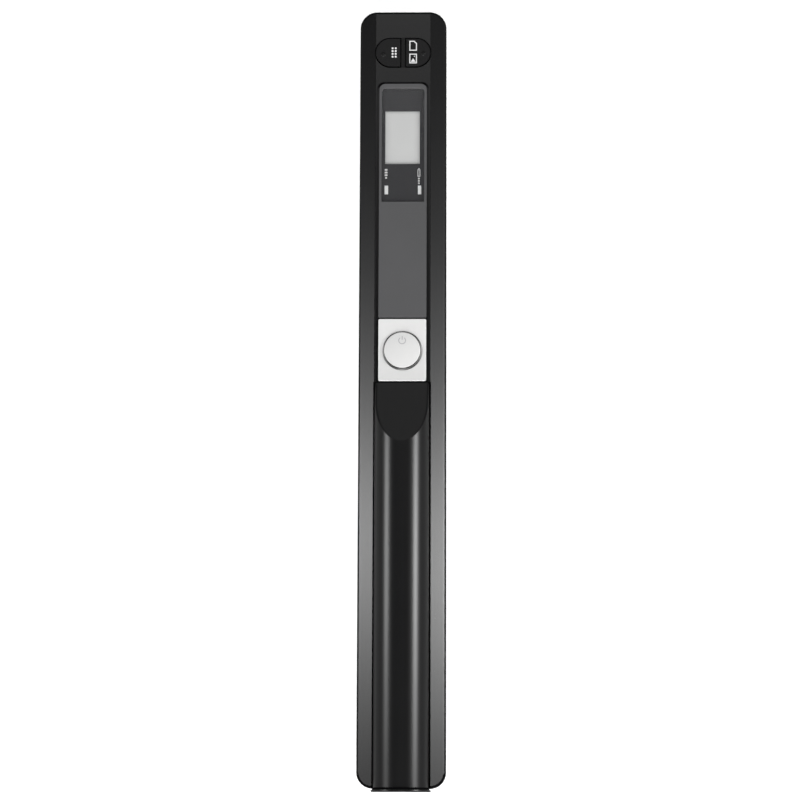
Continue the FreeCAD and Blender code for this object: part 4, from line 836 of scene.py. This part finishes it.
def floor():
    me = bpy.data.meshes.new("floor")
    me.from_pydata([(-3, -3, 0), (3, -3, 0), (3, 3, 0), (-3, 3, 0)], [], [[0, 1, 2, 3]])
    ob = bpy.data.objects.new("floor", me)
    bpy.context.scene.collection.objects.link(ob)
    m, nt, bsdf = new_mat("pale_floor")
    nt.links.new(ramp(nt, noise(nt, coords(nt), 3.0, 2.0), [(0.3, 0.90), (0.7, 0.92)]), bsdf.inputs["Base Color"])
    bsdf.inputs["Roughness"].default_value = 0.9
    bsdf.inputs["Specular IOR Level"].default_value = 0.1
    bsdf.inputs["Emission Color"].default_value = (1.0, 1.0, 1.0, 1.0)
    bsdf.inputs["Emission Strength"].default_value = 0.34
    me.materials.append(m)
    ob.visible_glossy = False
    # what shiny sides mirror of the sweep is dimmer than the sweep itself
    me = bpy.data.meshes.new("sweep_mirror")
    me.from_pydata([(-3, -3, -0.0008), (3, -3, -0.0008), (3, 3, -0.0008), (-3, 3, -0.0008)], [], [[0, 1, 2, 3]])
    ob = bpy.data.objects.new("sweep_mirror", me)
    bpy.context.scene.collection.objects.link(ob)
    m, nt, bsdf = new_mat("sweep_mirror_tone")
    nt.links.new(ramp(nt, noise(nt, coords(nt), 3.0, 2.0), [(0.3, 0.10), (0.7, 0.12)]), bsdf.inputs["Base Color"])
    bsdf.inputs["Emission Color"].default_value = (1.0, 1.0, 1.0, 1.0)
    bsdf.inputs["Emission Strength"].default_value = 0.36
    me.materials.append(m)
    ob.visible_diffuse = False
    ob.visible_shadow = False


floor()


def area(name, at, to, sx, sy, power, spread=180):
    ld = bpy.data.lights.new(name, "AREA")
    ld.shape = "RECTANGLE"
    ld.size, ld.size_y = sx, sy
    ld.energy = power
    ld.spread = math.radians(spread)
    ob = bpy.data.objects.new(name, ld)
    bpy.context.scene.collection.objects.link(ob)
    at, to = Vector(at), Vector(to)
    z = (at - to).normalized()
    x = Vector((0, 1, 0)).cross(z).normalized()
    y = z.cross(x)
    m = Matrix((x, y, z)).transposed().to_4x4()
    m.translation = at
    ob.matrix_world = m
    return ob


area("side_left", (-0.90, 0.062, 0.47), (0, 0.062, 0.02), 0.30, 0.05, 4.5)
area("side_right", (0.90, 0.045, 0.47), (0, 0.045, 0.02), 0.30, 0.05, 7.7)
area("over_far", (0.0, 0.55, 1.25), (0, 0, 0), 1.2, 0.25, 2.0)
area("far_low", (0.0, 1.40, 0.60), (0, 0, 0), 0.5, 1.6, 1.8)
area("near_fill", (0.0, -1.25, 0.85), (0, 0, 0), 0.6, 1.6, 40.0)

world = bpy.data.worlds.new("studio")
bpy.context.scene.world = world
world.use_nodes = True
bg = next(n for n in world.node_tree.nodes if n.type == "BACKGROUND")
bg.inputs["Color"].default_value = (1, 1, 1, 1)
bg.inputs["Strength"].default_value = 0.08
bpy.context.scene.view_settings.view_transform = "Standard"
bpy.context.scene.view_settings.look = "None"
